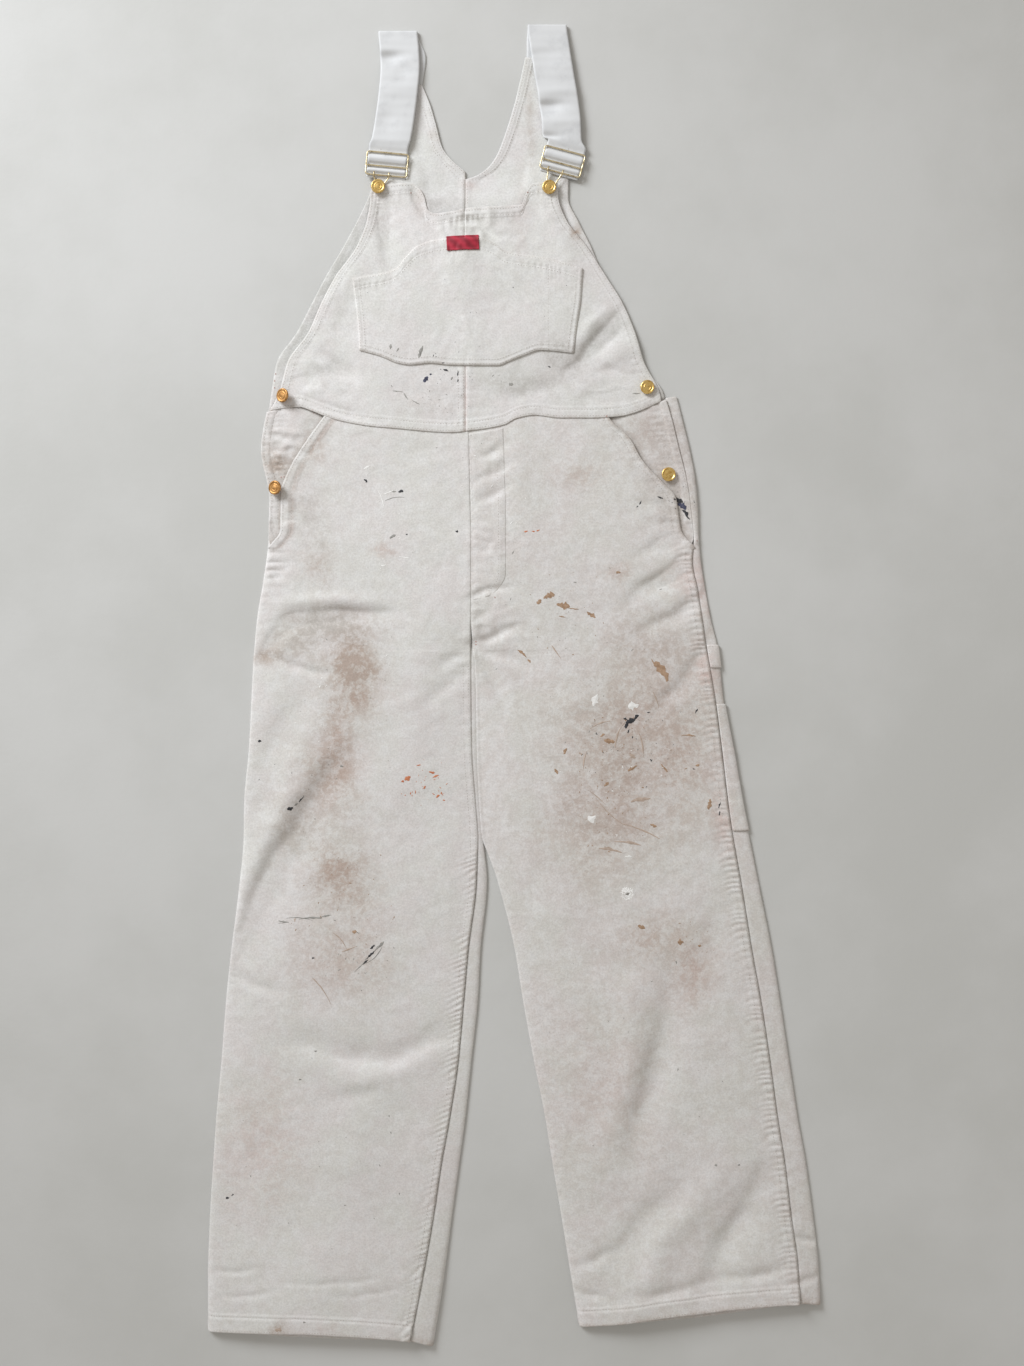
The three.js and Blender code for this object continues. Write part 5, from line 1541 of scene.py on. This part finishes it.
# Bar tacks where the stress comes, in a pinker thread
barTacks = [
    (276, 360, 9, 4), (276, 367, 9, -3), (276, 374, 9, 2), (275, 381, 9, 5), (275, 388, 9, -4),
    (314, 413, 8, -50), (284, 477, 8, 10), (606, 417, 8, 40), (662, 481, 7, 10), (497, 597, 7, 20),
    (476, 642, 8, 88), (697, 541, 9, 4), (411, 192, 6, 90), (528, 192, 6, 80),
]
tackPaths = []
for px, py, long, turn in barTacks:
    tx, ty = fromPhoto(px, py)
    c, s = cosSin(turn)
    reach = np.linspace(-long / 2, long / 2, 3) * photo["mmPerPixel"]
    tackPaths += [(tx + reach * c - gap * s, ty + reach * s + gap * c) for gap in (-0.6, 0.0, 0.6)]
pinkThread = cottonThread("pink-worn cotton thread", "c9a8a0", "b08d86")
sewPiece("bar_tacks", tackPaths, pinkThread, seed=7)
print("sewing made")

# Paint on the cloth: each drop, flake or stroke is a thin skin with a ragged outline. A row is its
# colour, its place in the photo, its length and width in pixels, its turn and its bend.
spatter = [
    ("brown", 549, 597, 13, 7, 20, 1), ("brown", 539, 602, 7, 6, 50, 0), ("brown", 563, 606, 15, 9, -12, 0),
    ("brown", 591, 615, 11, 6, -35, 0), ("brown", 573, 609, 12, 1.5, -5, 0),
    ("brown", 522, 654, 13, 3, -40, 1), ("brown", 529, 661, 5, 3, -45, 0),
    ("smear", 556, 652, 18, 1.6, -55, 0), ("brown", 660, 672, 26, 12, -56, 2.5),
    ("brown", 653, 663, 10, 2, -60, 0), ("brown", 562, 617, 8, 1.6, -10, 0),
    ("black", 630, 721, 11, 6.5, 14, 0), ("black", 626, 725, 8, 5, 76, 0),
    ("black", 636, 717, 7, 4.4, 48, 0), ("black", 625, 719, 5, 3.4, -30, 0),
    ("black", 632, 737, 3, 1.5, 80, 0), ("smear", 632, 756, 8, 5, -30, 0),
    ("smear", 620, 735, 30, 2, 70, 3), ("smear", 640, 745, 28, 1.6, -80, 2),
    ("smear", 600, 725, 24, 1.6, 20, 2), ("smear", 585, 760, 20, 2, 80, 1),
    ("smear", 655, 700, 20, 1.4, -70, 1), ("grey", 636, 394, 9, 1.6, 4, 0),
    ("smear", 640, 800, 22, 5, 10, 1), ("smear", 610, 850, 26, 4, -10, 1), ("black", 628, 731, 5, 2, 70, 0),
    ("brown", 609, 741, 12, 7, -10, 0), ("brown", 602, 735, 6, 3, 30, 0), ("brown", 565, 751, 8, 4, 60, 0),
    ("brown", 556, 771, 7, 4, -60, 0), ("brown", 632, 768, 12, 4, 30, 0),
    ("brown", 664, 768, 11, 3, -50, 0), ("brown", 697, 765, 5, 3, 10, 0),
    ("brown", 688, 736, 16, 2.2, -4, 1), ("black", 696, 711, 6, 2, 60, 0),
    ("brown", 709, 804, 12, 6, 80, 0), ("black", 719, 805, 7, 2, 70, 0), ("black", 719, 813, 5, 2, 80, 0),
    ("brown", 653, 825, 8, 4, -20, 0), ("brown", 606, 784, 7, 4, 40, 0),
    ("smear", 612, 812, 44, 1.2, -42, -3), ("smear", 640, 831, 46, 2.2, -22, 2),
    ("smear", 627, 843, 30, 3.4, -8, 1), ("smear", 596, 797, 26, 1.0, -40, 1),
    ("white", 595, 700, 14, 8, 70, 0), ("white", 633, 706, 12, 9, 10, 0), ("white", 592, 818, 10, 9, 40, 0),
    ("white", 628, 856, 8, 3, 0, 0), ("black", 678, 501, 11, 7, -20, 1), ("blue", 681, 507, 12, 7, -35, 2),
    ("black", 684, 514, 10, 4.4, -60, 2), ("black", 688, 518, 6, 1.6, -50, 0),
    ("black", 674, 497, 4, 2, 10, 0), ("black", 640, 503, 5, 2, 60, 0), ("black", 637, 507, 3, 1.2, 40, 0),
    ("black", 660, 498, 7, 2, -20, 0), ("orange", 526, 532, 5, 2, 10, 0),
    ("orange", 533, 532, 4, 1.6, -10, 0), ("orange", 538, 531, 4, 1.8, 20, 0),
    ("grey", 513, 553, 5, 1.6, 60, 0), ("brown", 618, 573, 5, 4, 0, 0), ("grey", 511, 385, 5, 5, 0, 0),
    ("blue", 426, 380, 8, 6, 50, 0), ("blue", 431, 375, 3, 2, 0, 0), ("black", 446, 371, 6, 3, -20, 0),
    ("black", 458, 374, 7, 1.6, 88, 0), ("black", 458, 381, 4, 1.4, 90, 0), ("grey", 452, 379, 4, 2, 60, 0),
    ("grey", 421, 353, 14, 4, 70, 0), ("grey", 391, 348, 6, 3, 80, 0), ("grey", 398, 351, 5, 2, 60, 0),
    ("grey", 406, 397, 9, 1.8, -60, 0), ("grey", 398, 392, 12, 1.4, -6, 0),
    ("grey", 416, 403, 10, 1.2, -30, 0), ("black", 366, 481, 5, 3, -40, 0),
    ("black", 401, 492, 6, 4, 10, 0), ("grey", 394, 492, 6, 2, 0, 0), ("grey", 393, 537, 8, 4, 30, 0),
    ("black", 407, 535, 2.4, 2, 0, 0), ("black", 457, 532, 3, 3, 0, 0), ("white", 367, 468, 8, 3, 30, 0),
    ("white", 381, 499, 20, 1.8, -70, 1), ("white", 389, 493, 12, 1.6, 20, 0),
    ("grey", 395, 500, 22, 1.2, 10, 2), ("white", 384, 566, 7, 2, 10, 0),
    ("white", 404, 558, 12, 1.6, -6, 0), ("black", 260, 741, 4, 3, 0, 0), ("grey", 342, 766, 4, 3, 0, 0),
    ("black", 291, 808, 7, 6, 20, 0), ("black", 302, 799, 9, 2, 50, 0), ("grey", 297, 804, 5, 2, 30, 0),
    ("orange", 408, 778, 8, 6, 30, 0), ("orange", 403, 781, 3, 4, 0, 0), ("orange", 432, 772, 7, 3, -10, 0),
    ("orange", 436, 776, 8, 2.4, 20, 0), ("orange", 438, 796, 5, 3, 40, 0),
    ("orange", 419, 765, 5, 2, 10, 0), ("orange", 425, 787, 4, 2, 60, 0), ("orange", 444, 800, 3, 2, 0, 0),
    ("orange", 411, 793, 3, 2, 80, 0), ("grey", 300, 919, 30, 1.2, -4, 2),
    ("grey", 284, 922, 12, 1.0, 8, 0), ("grey", 311, 918, 26, 2.6, 3, 1), ("grey", 379, 946, 17, 3, 45, 0),
    ("black", 371, 954, 13, 3, 44, 0), ("grey", 326, 916, 14, 2.2, 14, 1), ("grey", 284, 921, 12, 2, -8, 0),
    ("brown", 355, 931, 5, 5, 0, 0), ("grey", 372, 954, 30, 1.3, 42, -4), ("black", 373, 946, 7, 3, 40, 0),
    ("black", 366, 961, 8, 2.4, 40, 0), ("grey", 360, 966, 16, 1.4, 44, 0), ("black", 314, 957, 3, 2, 0, 0),
    ("smear", 322, 990, 36, 1.6, -55, 2), ("smear", 340, 940, 24, 1.4, -50, 2),
    ("smear", 350, 948, 18, 2, 20, 0), ("grey", 316, 1050, 3, 2, 0, 0), ("grey", 301, 1078, 3, 2, 0, 0),
    ("black", 228, 1197, 4, 3, 0, 0), ("black", 233, 1194, 3, 2, 40, 0), ("grey", 306, 1317, 3, 2, 0, 0),
    ("smear", 280, 1325, 8, 5, -10, 0), ("grey", 715, 1163, 3, 3, 0, 0), ("grey", 738, 1163, 3, 2, 0, 0),
    ("brown", 680, 941, 7, 7, 0, 0), ("brown", 699, 945, 4, 3, 0, 0), ("brown", 641, 926, 9, 5, -20, 0),
    ("grey", 577, 234, 6, 5, 30, 0),
]
# Fine specks thrown over a round area: colour, middle in the photo, reach in pixels, how many
specks = [
    ("brown", 630, 760, 60, 70), ("black", 640, 745, 62, 34), ("white", 610, 790, 66, 46),
    ("brown", 600, 830, 50, 24), ("orange", 424, 780, 26, 34), ("brown", 345, 900, 60, 34),
    ("grey", 360, 950, 46, 30), ("white", 390, 520, 60, 36), ("black", 440, 375, 36, 20),
    ("grey", 440, 400, 70, 30), ("grey", 600, 640, 110, 40), ("brown", 560, 620, 60, 22),
    ("black", 300, 800, 60, 12), ("grey", 340, 700, 90, 24), ("white", 330, 690, 70, 24),
    ("grey", 640, 1050, 110, 24), ("grey", 320, 1160, 110, 30), ("black", 690, 500, 22, 16),
    ("white", 500, 480, 50, 16), ("brown", 690, 940, 30, 12), ("black", 470, 320, 110, 10),
]


skin = {"middle": 0.24, "edge": 0.06, "under": 0.5}  # height over the cloth and depth into it, in mm


# Adds one skin of paint to the lists, along its length in rows of left, middle and right.
def paintSkin(vertices, faces, x, y, long, wide, turn, bend, random):
    rows = 9 if long > 12 else 6
    c, s = cosSin(turn)
    ragged = random.uniform(0.4, 1.25, (rows, 2))
    peak = random.uniform(0.3, 0.7)
    found = []
    for i in range(rows):
        t = (i + 0.5) / rows
        middle = (t - 0.5) * long
        across = wide / 2 * min(t / peak, (1 - t) / (1 - peak)) ** 0.7
        bow = bend * 4 * t * (1 - t)
        for side in (ragged[i, 0] * across, 0.0, -ragged[i, 1] * across):
            px, py = x + middle * c - (side + bow) * s, y + middle * s + (side + bow) * c
            top = topOfCloth(tree, px, py)
            if top is None:
                return
            found.append((px, py, top + skin["middle" if side == 0.0 else "edge"]))
    heights = [place[2] for place in found]
    if max(heights) - min(heights) > 0.5 + 0.35 * long:
        return
    n = len(vertices)
    vertices += found
    vertices += [(px, py, pz - skin["under"]) for px, py, pz in found]
    under = 3 * rows
    for i in range(rows - 1):
        for j in (0, 1):
            a = n + 3 * i + j
            faces.append((a, a + 1, a + 4, a + 3))
            faces.append((a + under + 3, a + under + 4, a + under + 1, a + under))
        left, right = n + 3 * i, n + 3 * i + 2
        faces.append((left, left + 3, left + 3 + under, left + under))
        faces.append((right + under, right + 3 + under, right + 3, right))
    for end, way in ((n, 1), (n + 3 * (rows - 1), -1)):
        for a, b in ((end, end + 1), (end + 1, end + 2)):
            faces.append((a, a + under, b + under, b)[::way])


random = np.random.default_rng(21)
scale = photo["mmPerPixel"]
coats = {colour: ([], []) for colour in paints}
for colour, px, py, long, wide, turn, bend in spatter:
    x, y = fromPhoto(px, py)
    paintSkin(*coats[colour], float(x), float(y), long * scale, wide * scale, turn, bend * scale, random)
for colour, px, py, reach, count in specks:
    x, y = fromPhoto(px, py)
    for _ in range(count):
        away, angle = reach * scale * random.uniform(0, 1) ** 0.8, random.uniform(0, 2 * math.pi)
        size = 0.55 + 1.1 * random.uniform(0, 1) ** 3
        place = (float(x) + away * math.cos(angle), float(y) + away * math.sin(angle))
        long, turn = size * random.uniform(1.2, 3.0), random.uniform(0, 360)
        paintSkin(*coats[colour], *place, long, size, turn, 0, random)
for colour, (vertices, faces) in coats.items():
    settle(meshPiece(f"paint_{colour}", vertices, faces, paints[colour]), "cotton_drill")

# A small hole on the right thigh, worn through, with its frayed threads; the hole itself is a dark skin of
# painted shade laid on the cloth
hole = {"place": (627, 893), "long": 5.0, "wide": 3.4, "turn": 20}
fraying = {"reach": 8.0, "threads": 110, "long": 5.2, "wide": 0.8}
hx, hy = fromPhoto(*hole["place"])
vertices, faces = [], []
paintSkin(vertices, faces, float(hx), float(hy), hole["long"], hole["wide"], hole["turn"], 0, random)
shadowed = driedPaint("shaded drill under the hole", "8f8b85", "7b7771")
settle(meshPiece("hole", vertices, faces, shadowed), "cotton_drill")
frays = []
for _ in range(fraying["threads"]):
    angle, away = random.uniform(0, 2 * math.pi), fraying["reach"] * random.uniform(0.35, 1)
    x, y = float(hx) + away * math.cos(angle), float(hy) + away * math.sin(angle)
    turn = angle + random.normal(0, 0.8)
    reach = np.linspace(-fraying["long"] / 2, fraying["long"] / 2, 3)
    frays.append((x + reach * math.cos(turn), y + reach * math.sin(turn)))
whiteThread = cottonThread("frayed white cotton", "f2f1ef", "e2e1de")
sewPiece("hole_frays", frays, whiteThread, seed=8, wide=fraying["wide"])
print("paint and wear made")


# Selects the faces of the mesh being edited that a test picks by their middle and normal.
def pickFaces(piece, test):
    mesh = bmesh.from_edit_mesh(piece.data)
    for face in mesh.faces:
        face.select_set(bool(test(face.calc_center_median() / mm, face.normal)))
    bmesh.update_edit_mesh(piece.data)


def beginEdit(piece):
    bpy.ops.object.select_all(action="DESELECT")
    bpy.context.view_layer.objects.active = piece
    piece.select_set(True)
    bpy.ops.object.mode_set(mode="EDIT")
    bpy.ops.mesh.select_mode(type="FACE")


def finishPiece(piece, name, material, bevel, angle=35):
    bpy.ops.object.mode_set(mode="OBJECT")
    if bevel:
        piece.modifiers.new("round edges", "BEVEL").width = bevel * mm
        piece.modifiers["round edges"].segments = 2
        piece.modifiers["round edges"].limit_method = "ANGLE"
        piece.modifiers["round edges"].angle_limit = math.radians(30)
        bpy.ops.object.modifier_apply(modifier="round edges")
    bpy.ops.object.shade_smooth_by_angle(angle=math.radians(angle))
    piece.name = name
    piece.data.materials.append(material)


# Tack buttons: a pressed cap with a rolled rim, a sunk ring and a raised middle, on a neck
button = {"radius": 7.8, "cap": 1.5, "neck": 2.6, "sides": 56, "leaningTall": 5.4}
# Rings pressed into a cap, from its rim inwards: how wide and how high each is, in mm
pressed = {
    "rim": [(0.7, 0.55), (0.7, 0.05), (0.7, -0.55)],
    "domed": [(1.5, 0.3), (1.6, 0.18), (1.4, 0.06)],
    "ringed": [(1.5, 0.02), (0.3, 0.32), (0.35, 0.02), (0.3, -0.25), (1.4, 0.3)],
}
buttons = {
    "button_bib_left": {"lean": 0, "metal": "bright"},
    "button_bib_right": {"lean": 0, "metal": "bright"},
    "button_side_left_upper": {"lean": -28, "metal": "copper"},
    "button_side_left_lower": {"lean": -24, "metal": "copper"},
    "button_side_right_upper": {"lean": 0, "metal": "bright"},
    "button_side_right_lower": {"lean": 0, "metal": "plain"},
}
copperTone = platedMetal("copper-tone pressed metal", "c99a63", "8a6238", 0.34, 3.0)


def makeButton(name, settings):
    lower, upper = (np.array(corner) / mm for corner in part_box(name))
    bpy.ops.object.select_all(action="DESELECT")
    tall = button["leaningTall"] if settings["lean"] else upper[2] - lower[2]
    radius = button["radius"] - 0.15
    capZ = tall - button["cap"] / 2 - 0.6
    bpy.ops.mesh.primitive_cylinder_add(
        vertices=button["sides"],
        radius=radius * mm,
        depth=button["cap"] * mm,
        location=(0, 0, capZ * mm),
        end_fill_type="NGON",
    )
    piece = bpy.context.object
    bpy.ops.object.transform_apply(location=True)
    beginEdit(piece)
    pickFaces(piece, lambda middle, normal: normal.z > 0.9)
    for wide, high in pressed["rim"] + pressed["domed" if settings["metal"] == "plain" else "ringed"]:
        bpy.ops.mesh.inset(thickness=wide * mm, depth=high * mm)
    pickFaces(piece, lambda middle, normal: normal.z < -0.9)
    bpy.ops.mesh.inset(thickness=0.9 * mm, depth=0.5 * mm)
    bpy.ops.mesh.inset(thickness=(radius - 0.9 - button["neck"]) * mm)
    down = tall - button["cap"] - 0.6 - 0.5
    bpy.ops.mesh.extrude_region_move(TRANSFORM_OT_translate={"value": (0, 0, -down * mm)})
    metal = {"bright": goldTone, "plain": goldTone, "copper": copperTone}[settings["metal"]]
    finishPiece(piece, name + "_metal", metal, 0.12)
    piece.rotation_euler = (0, math.radians(settings["lean"]), 0)
    bpy.ops.object.transform_apply(rotation=True)
    reach = np.array([vertex.co for vertex in piece.data.vertices]) / mm
    shift = (lower + upper) / 2 - (reach.min(axis=0) + reach.max(axis=0)) / 2
    piece.location = [value * mm for value in shift]
    bpy.ops.object.transform_apply(location=True)
    settle(piece, "gold_tone_metal", name)


for name, settings in buttons.items():
    makeButton(name, settings)

# Slides and hooks: bent wire. A slide is a rounded frame with a bar across its middle.
slide = {"wide": 46.8, "top": 13, "middle": -2, "foot": -12, "wire": 0.8, "corner": 2.4, "height": 5.5}
hook = {"wire": 0.8, "eyes": (-13, 3.5), "over": 8.1}


def wirePiece(name, routes, radius):
    curve = bpy.data.curves.new(name, "CURVE")
    curve.dimensions = "3D"
    curve.bevel_depth = radius * mm
    curve.bevel_resolution = 3
    curve.use_fill_caps = True
    for route, closed in routes:
        spline = curve.splines.new("POLY")
        spline.points.add(len(route) - 1)
        for point, place in zip(spline.points, route):
            point.co = [value * mm for value in place] + [1]
        spline.use_cyclic_u = closed
    wire = bpy.data.objects.new(name, curve)
    bpy.context.collection.objects.link(wire)
    bpy.ops.object.select_all(action="DESELECT")
    bpy.context.view_layer.objects.active = wire
    wire.select_set(True)
    bpy.ops.object.convert(target="MESH")
    piece = bpy.context.object
    piece.data.materials.append(brassWire)
    bpy.ops.object.shade_smooth_by_angle(angle=math.radians(50))
    return piece


def roundedCorner(cx, cy, start):
    angles = np.radians(start + np.linspace(0, 90, 6))
    return [(cx + slide["corner"] * math.cos(a), cy + slide["corner"] * math.sin(a)) for a in angles]


# A smooth line through a few places, by Catmull and Rom's rule.
def smoothRoute(places, steps=7):
    places = np.array([places[0]] + places + [places[-1]], float)
    route = []
    for a, b, c, d in zip(places, places[1:], places[2:], places[3:]):
        for t in np.linspace(0, 1, steps, endpoint=False):
            squared, cubed = 2 * a - 5 * b + 4 * c - d, 3 * b - a - 3 * c + d
            route.append(0.5 * (2 * b + (c - a) * t + squared * t**2 + cubed * t**3))
    return route + [places[-1]]


bibButtons = {"left": (-149.6, 546.7), "right": (38, 545.6)}
for side, run in straps.items():
    sx, sy, slant = run["slide"]
    c, s = cosSin(slant)

    def placed(x, y, z, sx=sx, sy=sy, c=c, s=s):
        return sx + x * c - y * s, sy + x * s + y * c, z

    half, height, middle = slide["wide"] / 2 - slide["wire"], slide["height"], slide["middle"]
    cornerX = half - slide["corner"]
    cornerTop, cornerFoot = slide["top"] - slide["corner"], slide["foot"] + slide["corner"]
    outline = roundedCorner(cornerX, cornerTop, 0) + roundedCorner(-cornerX, cornerTop, 90)
    outline += roundedCorner(-cornerX, cornerFoot, 180) + roundedCorner(cornerX, cornerFoot, 270)
    frameRoute = [placed(x, y, height) for x, y in outline]
    bar = [placed(x, middle, height) for x in (-half, 0, half)]
    knob = [placed(half - 0.2, middle + 2.6, height), placed(half + 0.1, middle - 2.6, height)]
    piece = wirePiece(f"slide_{side}_wire", [(frameRoute, True), (bar, False), (knob, False)], slide["wire"])
    settle(piece, "brass_wire", "slide_" + side)
    bx, by = bibButtons[side]
    lx, ly = (bx - sx) * c + (by - sy) * s, (by - sy) * c - (bx - sx) * s
    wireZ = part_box("hook_" + side)[0][2] / mm + hook["wire"]
    neck, over, foot = button["neck"] + 1.3, hook["over"], slide["foot"]
    ends = []
    for eye in hook["eyes"]:
        ends.append([
            (eye, foot + 2.6, over - 1.0),
            (eye, foot + 0.9, over),
            (eye, foot - 0.9, over),
            (eye, foot - 2.5, over - 1.1),
            (mix(eye, lx, 0.15), foot - 4.5, mix(over, wireZ, 0.8)),
        ])
    turns = np.radians(np.arange(180, 361, 30))
    around = [(lx + neck * math.cos(a), ly + neck * math.sin(a), wireZ) for a in turns]
    route = smoothRoute(ends[0] + around + ends[1][::-1])
    piece = wirePiece(f"hook_{side}_wire", [([placed(*place) for place in route], False)], hook["wire"])
    settle(piece, "brass_wire", "hook_" + side)
print("buttons, slides and hooks made")

# Light and floor: a large soft source high on the left and the bright room round it
lamp = {
    "place": (-2.0, 2.1, 1.5),
    "aim": (0.0, 0.1, 0.0),
    "size": 1.2,
    "spread": 80,
    "power": 22.5,
    "colour": "f6faff",
    "room": 0.52,
    "roomColour": "f8f3ec",
}
bpy.ops.object.light_add(type="AREA", location=lamp["place"])
light = bpy.context.object
light.data.size = lamp["size"]
light.data.spread = math.radians(lamp["spread"])
light.data.energy = lamp["power"]
light.data.color = linear(lamp["colour"])[:3]
light.rotation_euler = (Vector(lamp["aim"]) - Vector(lamp["place"])).to_track_quat("-Z", "Y").to_euler()
world = bpy.data.worlds.new("room")
bpy.context.scene.world = world
world.use_nodes = True
world.node_tree.nodes["Background"].inputs["Color"].default_value = linear(lamp["roomColour"])
world.node_tree.nodes["Background"].inputs["Strength"].default_value = lamp["room"]
bpy.context.scene.view_settings.view_transform = "Standard"


concrete = {"size": 60, "light": "cbcbc9", "dark": "c3c3c0", "roughness": 0.75}


# Trowelled concrete, sealed and pale: faint clouds and pores, no dirt
def paleConcrete(settings):
    material, tree = newMaterial("pale sealed concrete")
    place = addNode(tree, "TexCoord")["Object"]
    clouds = addNode(tree, "TexNoise", None, Vector=place, Scale=3.0, Detail=5.0, Roughness=0.6)[0]
    pores = addNode(tree, "TexNoise", None, Vector=place, Scale=160.0, Detail=4.0, Roughness=0.7)[0]
    cloudy = addNode(tree, "MapRange", smooth, i0=clouds, i1=0.35, i2=0.65)[0]
    light, dark = linear(settings["light"]), linear(settings["dark"])
    colour = addNode(tree, "Mix", blended, i0=cloudy, i6=light, i7=dark)[2]
    relief = addNode(tree, "Bump", None, Strength=0.2, Distance=0.0006, Height=pores)[0]
    shader = addNode(
        tree,
        "BsdfPrincipled",
        None,
        Base_Color=colour,
        Roughness=settings["roughness"],
        Specular_IOR_Level=0.3,
        Normal=relief,
    )
    addNode(tree, "OutputMaterial", None, Surface=shader[0])
    return material


bpy.ops.mesh.primitive_plane_add(size=concrete["size"], location=(0, 0, 0))
floor = bpy.context.object
floor.name = "floor"
floor.data.materials.append(paleConcrete(concrete))
